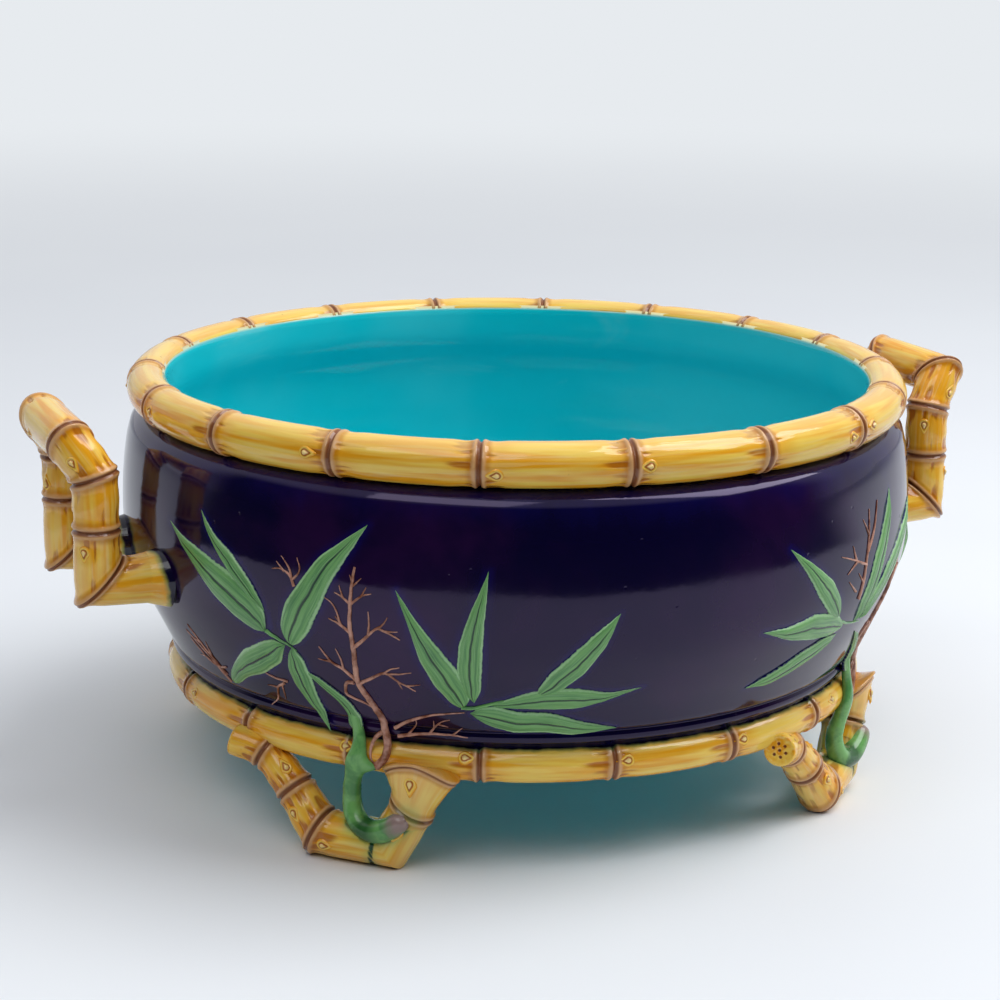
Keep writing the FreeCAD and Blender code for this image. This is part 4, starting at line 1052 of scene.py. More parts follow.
@made_once
def leaf_glaze(name):
    c = colours()
    material, shader, s = new_material(name)
    side, along = s.attribute("leaf_side"), s.attribute("leaf_along")
    number = s.attribute("leaf_number")
    blade = s.join(side, s.math("MULTIPLY", along, 1.4), s.math("MULTIPLY", number, 3.7))
    rim = s.math("ABSOLUTE", side)
    pools = s.cloud(s.stretch(blade, (3.2, 0.9, 1.0)), 2.2, 3.0, 0.6, 0.3)
    color = s.mix(s.ramp(pools, 0.42, 0.68, 0.0, 0.75), c.leaf_green, c.leaf_dark)
    hair = s.cloud(s.stretch(blade, (16.0, 0.9, 1.0)), 3.0, 2.0, 0.6)
    color = s.mix(s.ramp(hair, 0.5, 0.72, 0.0, 0.45), color, c.leaf_edge)
    bend = s.cloud(s.stretch(blade, (0.0, 3.0, 1.0)), 2.0, 1.0)
    middle = s.math("ABSOLUTE", s.sway(side, bend, 0.16))
    fade = s.ramp(along, 0.70, 0.97, 1.0, 0.0)
    vein = s.math("MULTIPLY", s.ramp(middle, 0.035, 0.13, 1.0, 0.0), fade)
    second = s.math("ABSOLUTE", s.math("SUBTRACT", middle, 0.46))
    side_vein = s.math("MULTIPLY", s.ramp(second, 0.02, 0.14, 0.55, 0.0), s.ramp(along, 0.15, 0.75, 1.0, 0.0))
    color = s.mix(side_vein, color, c.leaf_dark)
    color = s.mix(vein, color, c.leaf_vein)
    edge = s.sway(rim, s.cloud(s.stretch(blade, (2.0, 9.0, 1.0)), 3.0, 2.0), 0.14)
    color = s.mix(s.ramp(edge, 0.74, 0.86, 0.0, 0.8), color, c.leaf_edge)
    color = s.mix(s.ramp(edge, 0.93, 1.0, 0.0, 1.0), color, c.cobalt_bright)
    fired = s.group(fired_surface(), place=s.place(), ripple_size=130.0, ripple_height=0.6, pin_holes=0.3)
    height = s.math("MULTIPLY_ADD", vein, -0.9, fired["Height"])
    height = s.math("MULTIPLY_ADD", hair, 0.5, height)
    coat(s, shader, color, fired["Roughness"], height, 0.5, 0.0004)
    return material


@made_once
def shoot_glaze(name):
    c = colours()
    material, shader, s = new_material(name)
    along = s.attribute("shoot_along")
    place = s.place()
    pools = s.cloud(place, 120.0, 3.0, 0.6, 0.3)
    color = s.mix(s.ramp(pools, 0.38, 0.66, 0.0, 0.75), c.shoot_green, c.leaf_dark)
    here = s.sway(along, pools, 0.16)
    dark = s.math("MULTIPLY", s.ramp(here, 0.60, 0.70), s.ramp(here, 0.74, 0.84, 1.0, 0.0))
    color = s.wash(color, c.shoot_pool, dark, 0.85)
    color = s.mix(s.ramp(here, 0.86, 0.97), color, c.shoot_tip)
    fired = s.group(fired_surface(), place=place, ripple_size=140.0, ripple_height=0.6, pin_holes=0.3)
    coat(s, shader, color, fired["Roughness"], fired["Height"], 0.4, 0.0006)
    return material


@made_once
def twig_glaze(name):
    c = colours()
    material, shader, s = new_material(name)
    place = s.place()
    fired = s.group(fired_surface(), place=place, ripple_size=300.0, ripple_height=0.5, pin_holes=0.0)
    patches = s.cloud(place, 160.0, 3.0, 0.6)
    color = s.mix(s.ramp(patches, 0.38, 0.68), c.twig_brown, c.node_brown)
    coat(s, shader, color, fired["Roughness"], fired["Height"], 0.4, 0.0004)
    return material


# ---------------------------------------------------------------- leaves


def edge_widths(leaf, base, tip, steps):
    """Where an edge lies beside the line from base to tip, at even shares of it."""
    axis = tip - base
    run = axis.length
    way = axis / run
    side = Vector((-way.y, way.x))
    rows = [(0.0, 0.0)] + [((p - base).dot(way) / run, (p - base).dot(side)) for p in leaf] + [(1.0, 0.0)]
    rows.sort()
    shares = np.linspace(0.0, 1.0, 241)
    values = np.interp(shares, [r[0] for r in rows], [r[1] for r in rows])
    kernel = np.exp(-0.5 * (np.arange(-16, 17) / 6.0) ** 2)
    padded = np.concatenate([-values[16:0:-1], values, -values[-2:-18:-1]])
    soft = np.convolve(padded, kernel / kernel.sum(), mode="valid")
    return np.interp(steps, shares, soft)


def add_leaf(shell, leaf, spray, number, lift=0.0):
    """A raised leaf with a hollow midrib, laid on the wall."""
    base, first, tip, second = leaf
    base, tip = Vector(base), Vector(tip)
    rows, columns = 44, 17
    steps = 0.5 - 0.5 * np.cos(np.linspace(0.0, math.pi, rows))
    one = edge_widths([Vector(p) for p in first], base, tip, steps)
    two = edge_widths([Vector(p) for p in second], base, tip, steps)
    way = (tip - base).normalized()
    side = Vector((-way.y, way.x))
    run = (tip - base).length
    tall = sizes().leaf_height / MM
    top, bottom, sides, alongs = [], [], [], []
    for i, share in enumerate(steps):
        scallop = 0.22 * noise.noise(Vector((share * run * 0.22, number * 5.1, 0.0)))
        scallop_two = 0.22 * noise.noise(Vector((share * run * 0.22, number * 5.1, 9.0)))
        fade = min(share, 1 - share, 0.12) / 0.12
        near, far = one[i] + scallop * fade, two[i] + scallop_two * fade
        half = abs(far - near) / 2
        for j in range(columns):
            u = math.sin(math.pi / 2 * (2 * j / (columns - 1) - 1))
            flat = base + way * (run * share) + side * ((near + far) / 2 + u * (far - near) / 2)
            dome = (1 - abs(u) ** 3.2) ** 0.8
            vein = -0.42 * math.exp(-(u / 0.10) ** 2) * (1 - share) ** 0.5
            vein -= 0.22 * math.exp(-((abs(u) - 0.46) / 0.13) ** 2) * max(1 - share * 1.3, 0.0)
            swell = min(half / 2.2, 1.0)
            height = (tall * dome + vein * dome) * swell + lift
            place, _ = on_wall(spray, flat.x, flat.y, height)
            under, _ = on_wall(spray, flat.x, flat.y, -0.6)
            top.append(place if abs(u) < 0.999 and 0 < i < rows - 1 else under)
            bottom.append(under)
            sides.append(u)
            alongs.append(share)
    faces = grid_faces(rows, columns)
    count = len(top)
    under_faces = [tuple(count + k for k in reversed(face)) for face in faces]
    shell.add(top + bottom, faces + under_faces, leaf_side=sides * 2, leaf_along=alongs * 2,
              leaf_number=float(number))


def leaf_lines(leaf):
    base, first, tip, second = leaf
    ring = [base] + list(first) + [tip] + list(second)
    return [(np.array(a), np.array(b)) for a, b in zip(ring, ring[1:] + ring[:1])]


# ---------------------------------------------------------------- operators


class PieceOperator:
    bl_options = {"REGISTER", "UNDO"}

    def execute(self, context):
        self.make()
        return {"FINISHED"}


def spray_plan(quarter):
    """The two sprigs of a quarter, its stalks and its twigs."""
    if quarter % 2 == 0:
        return LEFT_SPRIG, RIGHT_SPRIG, LEFT_STALKS + RIGHT_STALKS, TREE + STRAYS_LEFT
    return TALL_SPRIG, SMALL_SPRIG, TALL_STALKS + RIGHT_STALKS, SHORT_TREE + STRAYS_TALL


def relief_near(points):
    """How near each point of the wall lies to the edge of a leaf, up to 0.8."""
    points = np.array(points)
    angles = np.arctan2(points[:, 1], points[:, 0])
    rise = (points[:, 2] - sizes().ring_height) / MM
    nearest = np.full(len(points), 99.0)
    for quarter, (_, spray) in enumerate(QUARTERS):
        turn = (angles - math.radians(spray) + math.pi) % math.tau - math.pi
        flat = np.column_stack([turn * BELLY_RADIUS, rise])
        inside = (np.abs(flat[:, 0]) < 135) & (rise > 4) & (rise < 112)
        left, right, _, _ = spray_plan(quarter)
        lines = [line for leaf in left + right for line in leaf_lines(leaf)]
        spots = flat[inside]
        best = np.full(len(spots), 99.0)
        for start, end in lines:
            way = end - start
            share = np.clip((spots - start) @ way / (way @ way), 0, 1)
            best = np.minimum(best, np.linalg.norm(spots - start - share[:, None] * way, axis=1))
        nearest[inside] = np.minimum(nearest[inside], best)
    return 0.8 * np.exp(-(nearest / 1.3) ** 1.5)


class PLANTER_OT_bowl(PieceOperator, bpy.types.Operator):
    """Turn the bowl with its cobalt wall, mouldings, turquoise lining and hollow base"""
    bl_idname = "planter.bowl"
    bl_label = "Bowl"

    def make(self):
        outside = FOOT_MOULDING + list(zip(WALL_HEIGHTS[::6], WALL_RADII[::6])) + WALL_NECK
        lining = list(even_path(LINING, 96))
        under = list(even_path(UNDERSIDE, 40))
        cobalt, turquoise = cobalt_glaze(), turquoise_glaze()
        section = [(z, r, 0) for z, r in outside]
        section += [(164.8, 152.0, 1)] + [(z, r, 1) for z, r in lining]
        section_under = [(z, r, 1) for z, r in reversed(under)] + [(44.8, 140.0, 1)]
        rows = section_under + section
        sides = 480
        points, shades = [], []
        for z, r, shade in rows:
            for j in range(sides):
                turn = math.tau * j / sides
                wave = 0.0
                if r > 100 and shade == 0 and z > 63:
                    wave = 0.16 * noise.noise(Vector((math.cos(turn) * 3.1, math.sin(turn) * 3.1, z * 0.035)))
                reach = (r + wave) * MM
                points.append((reach * math.cos(turn), reach * math.sin(turn), z * MM))
            shades.append(shade)
        near = relief_near(points) * np.repeat([1.0 if shade == 0 else 0.0 for shade in shades], sides)
        shell = Shell()
        shell.add(points, grid_faces(len(rows), sides, wrap_columns=True), relief_near=list(near))
        shell.shades = [max(pair) for pair in zip(shades, shades[1:]) for _ in range(sides)]
        dress(shell.piece("bowl_turned", [cobalt, turquoise]), "cobalt_glaze", "bowl")


RIM_SEAM, RING_SEAM = 256.0, 76.0  # angles on the two rods where the wall's glaze meets them
RIM_INNER_FACE = 149.3 * MM  # the lining cuts the rim rod off at this radius


class PLANTER_OT_rings(PieceOperator, bpy.types.Operator):
    """Bend the bamboo rods of the rim and the base ring and set their buds"""
    bl_idname = "planter.rings"
    bl_label = "Rim and base ring"

    def make(self):
        z = sizes()
        make_ring("rim_bamboo", z.rim_radius, z.rim_height, z.rim_rod, RIM_SEAM, RIM_INNER_FACE, RIM_BUDS)
        make_ring("base_ring", z.ring_radius, z.ring_height, z.ring_rod, RING_SEAM, 0.0, RING_BUDS)


# One half of a handle: (place, has a node, radius of the rod), from the wall to the cross bar.
HALF_HANDLE = [((162.0, -27.5, 101.2), False, 12.6), ((171.0, -27.5, 101.5), False, 10.2),
               ((190.2, -27.5, 101.6), True, 9.35), ((190.2, -27.5, 123.5), True, 9.35),
               ((190.2, -27.5, 144.3), True, 9.35), ((198.6, -23.0, 157.8), True, 9.35)]
ARM_BLEED = 0.6 * MM  # how far the wall's glaze climbs an arm before it counts as a gap
# Buds on a handle: (run of the rod, share of that run, angle on the rod).
HANDLE_BUDS = [(2, 0.62, 0.9), (3, 0.3, 2.0), (3, 0.7, -0.7), (4, 0.45, 0.3), (5, 0.3, 1.4), (5, 0.75, -2.0),
               (6, 0.4, 0.6), (7, 0.6, 2.2), (8, 0.35, 0.8)]


class PLANTER_OT_handles(PieceOperator, bpy.types.Operator):
    """Build the two mitred bamboo handles"""
    bl_idname = "planter.handles"
    bl_label = "Handles"

    def make(self):
        near = HALF_HANDLE
        far = [((x, -y, z), node, r) for (x, y, z), node, r in reversed(near)]
        for name, side in (("handle_right", 1), ("handle_left", -1)):
            stations = [((x * side, y * side, z), node, r) for (x, y, z), node, r in near + far]
            rod = Rod(stations, (0.0, -side, 0.0))
            shell = Shell()
            rod.skin(shell, 3 + 20 * side)
            for at_start in (True, False):
                end_cap(shell, rod, at_start, [(1.0, 0.0), (0.5, 0.2), (0.0, 0.3)], 0)
            spots = np.array(shell.points)
            wall = np.interp(spots[:, 2] / MM, WALL_HEIGHTS, WALL_RADII) * MM
            beyond = np.hypot(spots[:, 0], spots[:, 1]) - wall - ARM_BLEED
            shell.values["seat_gap"] = list(np.maximum(beyond, 0.0))
            dress(shell.piece(name + "_rod", [bamboo_glaze()]), "bamboo_glaze", name)
            make_buds(name + "_buds", bud_spots(rod, HANDLE_BUDS))


# The rod of a foot from its cut end to its post: ((across, out, up), has a node, radius).
FOOT_LINE = [((-62.8, 139.2, 38.8), False, 6.4), ((-48.9, 138.6, 35.6), True, 6.9),
             ((-34.8, 141.8, 23.2), True, 7.9), ((-22.2, 145.5, 9.0), True, 9.2),
             ((8.0, 145.5, 8.8), False, 9.0), ((17.4, 145.5, 25.6), True, 9.2)]
FOOT_STEP = 1.0 * MM
FOOT_BUDS = [(2, 0.45, 0.1), (3, 0.16, 0.25), (4, 0.55, 0.2), (1, 0.6, -0.9)]
# The round face of a cut cane, as (share of the radius, step outwards).
CUT_END = [(1.0, 0.0), (0.99, 0.35), (0.95, 0.65), (0.88, 0.8), (0.82, 0.7)]
CUT_END += [(share, 0.55) for share in np.linspace(0.78, 0.0, 20)]
# The flared post: its top's centre (across, out), half width and half depth, and its bud.
POST_TOP = (21.4, 147.0)
POST_HALF_WIDTH, POST_HALF_DEPTH = 15.6, 9.6
POST_CROWN = (145.0, 2.0, 42.0)  # middle of its top: out, how far its edge leans out, and up
POST_ROUND = 12.0  # radius that its streaks are drawn on
POST_GROOVE = 1.45  # its lip's groove, counted down from the edge
POST_BUD = (20.6, 156.0, 39.0)
POST_ROWS = [0.0, 0.012, 0.025, 0.04, 0.055, 0.075, 0.095, 0.12, 0.15, 0.2, 0.26, 0.33, 0.41, 0.5, 0.58,
             0.65, 0.71, 0.76, 0.80, 0.83, 0.855, 0.875, 0.892, 0.908, 0.922, 0.936, 0.95, 0.965, 0.98, 1.0]
POST_CROWN_ROWS = [(0.97, 0.35), (0.9, 0.5), (0.78, 0.5), (0.5, 0.4), (0.0, 0.0)]  # share, rise
# The crease across the front of a sole, and the shoot's green round it.
CREASE_PLACE, CREASE_SLANT, CREASE_LEVEL = 4.4, 0.16, 15.0
CREASE_TOP, CREASE_FRONT = 17 * MM, 0.140
CREASE_WIDTH, CREASE_BLEED = 1.3 * MM, 3.2 * MM
CREASE_DEPTH = 0.7
GREEN_FROM, GREEN_FADE, GREEN_FULL_BELOW = 4.4 * MM, 2.2 * MM, 19 * MM


def foot_place(spray, across, out, up):
    """A point of a foot, in millimetres, in the planter's frame."""
    c, s = math.cos(math.radians(spray)), math.sin(math.radians(spray))
    return (out * c - across * s, out * s + across * c, up)


def foot_ways(spray):
    """The ways across a foot and outwards from the bowl."""
    return Vector(foot_place(spray, 1.0, 0.0, 0.0)), Vector(foot_place(spray, 0.0, 1.0, 0.0))


def arch_height(share):
    """Top edge of a foot's flared post, for a share from -1 at its left to 1 at its right."""
    drop = 6.6 if share < 0 else 8.0
    return 47.4 - drop * abs(share) ** 1.9


def add_post(shell, rod, spray, number):
    """The right post of a foot: it grows out of the rod's last node and flares to an arched lip."""
    low, _, radius = rod.stations[-1]
    right, away = foot_ways(spray)
    lean = math.sqrt(1 - rod.ways[-1].dot(right) ** 2)
    points, straight, gaps = [], [], []
    for share in POST_ROWS:
        for j in range(rod.sides):
            turn = math.tau * j / rod.sides
            out = rod.outward(len(rod.ways) - 1, turn)
            c, w = out.dot(right) / lean, out.dot(away)
            foot = low + out * radius
            across, from_axis = POST_TOP[0] + POST_HALF_WIDTH * c, POST_TOP[1] + POST_HALF_DEPTH * w
            head = Vector(foot_place(spray, across, from_axis, arch_height(c))) * MM
            flare = share ** 1.6
            point = foot.lerp(head, flare)
            point.z = foot.z + (head.z - foot.z) * (share * 0.75 + flare * 0.25)
            run = (head - foot).length
            low_gap, top_gap = share * run, (1 - share) * run
            lift = float(node_profile(low_gap)) if low_gap < top_gap else 0.0
            rim = top_gap / MM
            lift += (0.45 * math.exp(-((rim - 0.5) / 0.5) ** 2)
                     - 0.5 * math.exp(-((rim - POST_GROOVE) / 0.36) ** 2)
                     + 0.35 * math.exp(-((rim - 2.4) / 0.5) ** 2)) * MM
            points.append(point + (right * c + away * w).normalized() * lift)
            straight.append((POST_ROUND * c * MM, POST_ROUND * w * MM, share * run))
            gaps.append(min(low_gap, abs(top_gap - POST_GROOVE * MM) * 1.5 + 0.6 * MM))
    middle_out, edge_lean, middle_up = POST_CROWN
    for shrink, rise in POST_CROWN_ROWS:
        for j in range(rod.sides):
            out = rod.outward(len(rod.ways) - 1, math.tau * j / rod.sides)
            c, w = out.dot(right) / lean, out.dot(away)
            up = arch_height(c * shrink) * shrink + middle_up * (1 - shrink) + rise
            place = foot_place(spray, POST_TOP[0] + POST_HALF_WIDTH * c * shrink,
                               middle_out + (edge_lean + POST_HALF_DEPTH * w) * shrink, up)
            points.append(Vector(place) * MM)
            straight.append((POST_ROUND * c * MM, POST_ROUND * w * MM, 0.03))
            gaps.append(0.0030)
    faces = grid_faces(len(POST_ROWS) + len(POST_CROWN_ROWS), rod.sides, wrap_columns=True)
    shell.add(points, faces, straight=straight, node_gap=gaps, seat_gap=0.02, internode=float(number))


def shoot_path(spray):
    return [Vector(foot_place(spray, a, o, u)) * MM for a, o, u, _, _ in SHOOT]


class PLANTER_OT_feet(PieceOperator, bpy.types.Operator):
    """Build the four feet of cut and mitred bamboo, with their flared posts"""
    bl_idname = "planter.feet"
    bl_label = "Feet"

    def make(self):
        for quarter, (name, spray) in enumerate(QUARTERS):
            stations = [(foot_place(spray, *p), node, r) for p, node, r in FOOT_LINE]
            rod = Rod(stations, foot_place(spray, 0.0, 1.0, 0.0), step=FOOT_STEP)
            shell = Shell()
            rod.skin(shell, 40 + 9 * quarter)
            end_cap(shell, rod, True, CUT_END, 50 + quarter, holes=True)
            add_post(shell, rod, spray, 60 + 7 * quarter)
            shell.points = [(x, y, max(z, 0.0)) for x, y, z in shell.points]
            path = np.array([tuple(p) for p in even_path([tuple(p) for p in shoot_path(spray)[5:]], 30)])
            spots = np.array(shell.points)
            gap = np.min(np.linalg.norm(spots[:, None, :] - path[None, :, :], axis=2), axis=1)
            right, away = (np.array(foot_place(spray, *axis)) for axis in ((1.0, 0.0, 0.0), (0.0, 1.0, 0.0)))
            line = (CREASE_PLACE - CREASE_SLANT * (CREASE_LEVEL - spots[:, 2] / MM)) * MM
            aside = np.abs(spots @ right - line)
            low = (spots[:, 2] < CREASE_TOP) & (spots @ away > CREASE_FRONT)
            crease = np.where(low, np.exp(-(aside / CREASE_WIDTH) ** 2), 0.0)
            bleed = np.where(low, 0.55 * np.exp(-(aside / CREASE_BLEED) ** 2), 0.0)
            shell.points = [tuple(p) for p in spots - np.outer(crease * CREASE_DEPTH * MM, away)]
            green = np.exp(-np.maximum(gap - GREEN_FROM, 0.0) / GREEN_FADE)
            green = green * np.where(spots[:, 2] > GREEN_FULL_BELOW, 0.45, 1.0)
            shell.values["green_near"] = list(np.maximum(green, bleed))
            shell.values["crease"] = list(crease)
            dress(shell.piece("foot_%s_rod" % name, [bamboo_glaze()]), "bamboo_glaze", "foot_" + name)
            buds = bud_spots(rod, FOOT_BUDS)
            angle = math.radians(spray)
            out = Vector((math.cos(angle), math.sin(angle), 0.1)).normalized()
            buds.append((Vector(foot_place(spray, *POST_BUD)) * MM, out,
                         (Vector((0, 0, -1)) + out * out.z).normalized(), 1.0))
            make_buds("foot_%s_buds" % name, buds)


class PLANTER_OT_shoots(PieceOperator, bpy.types.Operator):
    """Lay the green shoots over the base ring, each with its sheath leaf"""
    bl_idname = "planter.shoots"
    bl_label = "Green shoots"

    def make(self):
        for quarter, (name, spray) in enumerate(QUARTERS):
            table = even_path(SHOOT, 120)
            places = [Vector(foot_place(spray, *row[:3])) * MM for row in table]
            sides = 26
            across, out = foot_ways(spray)
            points, alongs = [], []
            for i, row in enumerate(table):
                way = (places[min(i + 1, len(places) - 1)] - places[max(i - 1, 0)]).normalized()
                depth = (out - way * out.dot(way)).normalized()
                width = way.cross(depth)
                ring = 1.0
                if row[0] < -5:
                    off = row[2] - SHOOT_NODE
                    ring += 0.09 * math.exp(-(off / 1.3) ** 2) - 0.10 * math.exp(-(off / 0.45) ** 2)
                lobe = SHOOT_LOBE[2] * MM * math.exp(-((row[2] - SHOOT_LOBE[0]) / SHOOT_LOBE[1]) ** 2)
                for j in range(sides):
                    turn = math.tau * j / sides
                    point = places[i] + width * (row[3] * ring * MM * math.cos(turn))
                    point += depth * (row[4] * ring * MM * math.sin(turn))
                    points.append(point + across * (lobe * max(width.dot(across) * math.cos(turn), 0.0) ** 5))
                    alongs.append(i / (len(table) - 1))
            shell = Shell()
            shell.add(points, grid_faces(len(table), sides, wrap_columns=True), shoot_along=alongs)
            for end in (0, len(table) - 1):
                ring = [tuple(points[end * sides + j]) for j in range(sides)]
                fan = [(0, 1 + j, 1 + (j + 1) % sides) for j in range(sides)]
                shell.add([tuple(places[end])] + ring, fan, shoot_along=end / (len(table) - 1))
            piece = shell.piece("shoot_%s_stem" % name, [shoot_glaze()])
            dress(piece, "shoot_glaze", "shoot_" + name)
            sheath = Shell()
            add_leaf(sheath, SHEATH, spray, 30 + quarter, 0.3)
            dress(sheath.piece("shoot_%s_sheath" % name, [leaf_glaze()]), "shoot_glaze", "shoot_" + name)


class PLANTER_OT_leaves(PieceOperator, bpy.types.Operator):
    """Lay the raised sprigs of bamboo leaves on the wall"""
    bl_idname = "planter.leaves"
    bl_label = "Leaf sprigs"

    def make(self):
        for quarter, (name, spray) in enumerate(QUARTERS):
            left, right, _, _ = spray_plan(quarter)
            for label, leaves in (("a", left), ("b", right)):
                shell = Shell()
                for number, leaf in enumerate(leaves):
                    add_leaf(shell, leaf, spray, number + 6 * (label == "b"), 0.1 * (number % 3))
                node = "leaf_sprig_%s_%s" % (name, label)
                dress(shell.piece(node + "_blades", [leaf_glaze()]), "leaf_glaze", node)


def stem_lines(spray, lines, lift):
    """Edges with a thickness at each point, laid on the wall."""
    points, edges, thick = [], [], []
    for bends, width in lines:
        steps = max(int(sum(math.dist(a, b) for a, b in zip(bends, bends[1:])) / 1.1), 4)
        for k, (across, rise) in enumerate(even_path(bends, steps)):
            share = k / (steps - 1)
            wobble = 0.22 * noise.noise(Vector((across * 0.35, rise * 0.35, spray)))
            rise_now = rise + wobble
            half = width * 0.46 * (1 - 0.72 * share) * (1 + 0.10 * noise.noise(Vector((across, rise, 3.0))))
            place, _ = on_wall(spray, across + wobble, rise_now, lift)
            if k:
                edges.append((len(points) - 1, len(points)))
            points.append(tuple(place))
            thick.append(half * MM)
    return points, edges, thick


def make_stems(name, spray, lines, sides, glaze, slot, lift, *nodes):
    points, edges, thick = stem_lines(spray, lines, lift)
    mesh = bpy.data.meshes.new(name)
    mesh.from_pydata(points, edges, [])
    write_attribute(mesh, "thickness", thick)
    piece = put_in_scene(name, mesh)
    run_tree(piece, shared_tree(stem_tree, "Swept stem"), sides=sides, glaze=glaze)
    return dress(piece, slot, *nodes)


STEM_SIDES = 10
STALK_WIDTH = 1.9  # of a leaf stalk, in millimetres


class PLANTER_OT_twigs(PieceOperator, bpy.types.Operator):
    """Grow the raised twig trees, stray twigs and leaf stalks on the wall"""
    bl_idname = "planter.twigs"
    bl_label = "Twigs and stalks"

    def make(self):
        for quarter, (name, spray) in enumerate(QUARTERS):
            _, _, stalks, twigs = spray_plan(quarter)
            make_stems("twigs_%s_stems" % name, spray, twigs, STEM_SIDES, twig_glaze(), "twig_glaze", 0.15,
                       "twigs_" + name)
            lines = [(line, STALK_WIDTH) for line in stalks]
            make_stems("stalks_" + name, spray, lines, STEM_SIDES, shoot_glaze(), "leaf_glaze", 0.1)


# ---------------------------------------------------------------- floor, light and camera

CAMERA_PLACE = (-0.38584, -0.89319, 0.36335)
CAMERA_TURN = (14.531, -0.383, 0.7187)  # down, about the upright and about the view, in degrees
PLANTER_TURN = -23.363  # how far the planter stands turned from the camera, in degrees
CAMERA_LENS = 83.31


def camera_axes():
    """Right, up and forward directions of the view."""
    pitch, yaw, roll = (math.radians(v) for v in CAMERA_TURN)
    forward = Vector((math.sin(yaw) * math.cos(pitch), math.cos(yaw) * math.cos(pitch), -math.sin(pitch)))
    right = Vector((math.cos(yaw), -math.sin(yaw), 0.0))
    up = right.cross(forward)
    turned_right = right * math.cos(roll) + up * math.sin(roll)
    turned_up = -right * math.sin(roll) + up * math.cos(roll)
    about = Matrix.Rotation(math.radians(PLANTER_TURN), 3, "Z")
    return about @ turned_right, about @ turned_up, about @ forward


def make_camera():
    data = bpy.data.cameras.new("view")
    data.lens, data.sensor_width = CAMERA_LENS, 36.0
    data.clip_start, data.clip_end = 0.05, 50.0
    camera = put_in_scene("view", data)
    right, up, forward = camera_axes()
    turn = Matrix((right, up, -forward)).transposed().to_4x4()
    camera.matrix_world = Matrix.Translation(CAMERA_PLACE) @ turn
    bpy.context.scene.camera = camera


def soft_box(name, place, aim, size, power):
    data = bpy.data.lights.new(name, "AREA")
    data.shape, data.size, data.size_y, data.energy = "RECTANGLE", size[0], size[1], power
    light = put_in_scene(name, data)
    light.location = place
    light.rotation_euler = (Vector(aim) - Vector(place)).to_track_quat("-Z", "Y").to_euler()


STUDIO_PALE = (0.66, 0.67, 0.70)
STUDIO_DIM = (0.035, 0.035, 0.045)


def make_world():
    world = bpy.data.worlds.new("studio")
    bpy.context.scene.world = world
    world.use_nodes = True
    s = Shades(world.node_tree)
    back = s.nodes["Background"]
    ray = s.nodes.new("ShaderNodeLightPath").outputs["Is Camera Ray"]
    direction = s.nodes.new("ShaderNodeTexCoord").outputs["Generated"]
    ahead, up = s.toward_viewer(direction), s.split(direction)[2]
    dim = s.math("MULTIPLY", s.ramp(ahead, -0.30, 0.05), s.ramp(up, 0.50, 0.75, 1.0, 0.0))
    room = s.mix(dim, STUDIO_PALE, STUDIO_DIM)
    s.put(back.inputs["Color"], s.mix(ray, room, colours().backdrop))


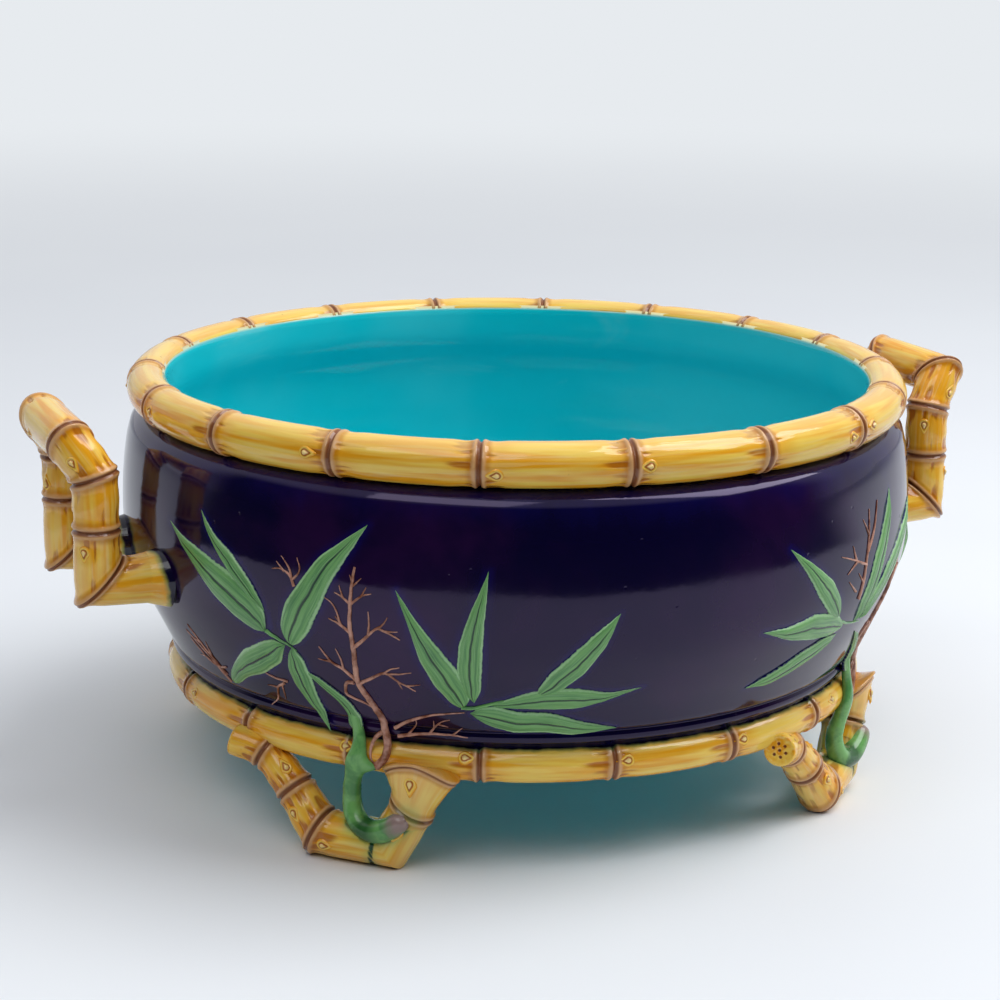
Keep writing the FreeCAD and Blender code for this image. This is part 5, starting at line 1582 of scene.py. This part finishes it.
def make_floor():
    material, shader, s = new_material("floor_paper")
    place = s.place()
    tone_noise = s.cloud(place, 3.0, 2.0)
    color = s.mix(s.ramp(tone_noise, 0.3, 0.7, 0.0, 0.25), colours().backdrop, srgb(222, 225, 232))
    seen = s.nodes.new("ShaderNodeLightPath").outputs["Is Camera Ray"]
    x, y = s.split(place)[:2]
    spread = s.math("SQRT", s.math("MULTIPLY_ADD", x, x, s.math("MULTIPLY", y, y)))
    ahead = s.ramp(s.math("DIVIDE", s.toward_viewer(place), spread), -0.30, 0.05)
    ragged = s.math("MULTIPLY_ADD", s.cloud(place, 26.0, 3.0, 0.6), 0.035, s.math("SUBTRACT", spread, 0.0175))
    beyond = s.math("MULTIPLY", s.ramp(ragged, 0.625, 0.64), ahead)
    edge = s.math("MULTIPLY", beyond, s.math("SUBTRACT", 1.0, seen))
    s.put(shader.inputs["Base Color"], s.mix(edge, color, STUDIO_DIM))
    shader.inputs["Roughness"].default_value = 0.55
    shader.inputs["Specular IOR Level"].default_value = 0.25
    emission = s.nodes.new("ShaderNodeEmission")
    s.put(emission.inputs["Color"], colours().backdrop)
    blend = s.nodes.new("ShaderNodeMixShader")
    s.put(blend.inputs[0], s.math("MULTIPLY", s.ramp(spread, 0.6, 3.0), seen))
    s.put(blend.inputs[1], shader.outputs[0])
    s.put(blend.inputs[2], emission.outputs[0])
    s.put(s.nodes["Material Output"].inputs["Surface"], blend.outputs[0])
    mesh = bpy.data.meshes.new("floor")
    ring = [(math.cos(math.tau * k / 96) * 12, math.sin(math.tau * k / 96) * 12, 0.0) for k in range(96)]
    mesh.from_pydata(ring, [], [tuple(range(96))])
    mesh.materials.append(material)
    floor = put_in_scene("floor", mesh)


class PLANTER_OT_stage(PieceOperator, bpy.types.Operator):
    """Set the pale floor, the soft lights and the camera"""
    bl_idname = "planter.stage"
    bl_label = "Floor, lights and camera"

    def make(self):
        make_floor()
        make_world()
        soft_box("main_box", (1.0, -0.45, 1.75), (0, 0, 0.08), (1.4, 1.4), 30)
        soft_box("fill_box", (-1.0, -0.9, 1.9), (0, 0, 0.1), (1.4, 1.0), 9)
        make_camera()
        bpy.context.scene.view_settings.view_transform = "Standard"


class PLANTER_PT_panel(bpy.types.Panel):
    """Sidebar panel with the planter's pieces, sizes and colours"""
    bl_idname = "PLANTER_PT_panel"
    bl_label = "Planter"
    bl_space_type = "VIEW_3D"
    bl_region_type = "UI"
    bl_category = "Planter"

    def draw(self, context):
        for operator in OPERATORS:
            self.layout.operator(operator.bl_idname)
        for group in (context.scene.planter_sizes, context.scene.planter_colours):
            box = self.layout.box()
            for key in group.__annotations__:
                box.prop(group, key)


OPERATORS = (PLANTER_OT_bowl, PLANTER_OT_rings, PLANTER_OT_handles, PLANTER_OT_feet, PLANTER_OT_shoots,
             PLANTER_OT_leaves, PLANTER_OT_twigs, PLANTER_OT_stage)
CLASSES = (PlanterSizes, PlanterColours, *OPERATORS, PLANTER_PT_panel)


def register():
    for kind in CLASSES:
        bpy.utils.register_class(kind)
    bpy.types.Scene.planter_sizes = PointerProperty(type=PlanterSizes)
    bpy.types.Scene.planter_colours = PointerProperty(type=PlanterColours)


def unregister():
    del bpy.types.Scene.planter_colours
    del bpy.types.Scene.planter_sizes
    for kind in reversed(CLASSES):
        bpy.utils.unregister_class(kind)


def main():
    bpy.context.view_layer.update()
    register()
    for operator in OPERATORS:
        group, name = operator.bl_idname.split(".")
        getattr(getattr(bpy.ops, group), name)()


if __name__ == "__main__":
    main()
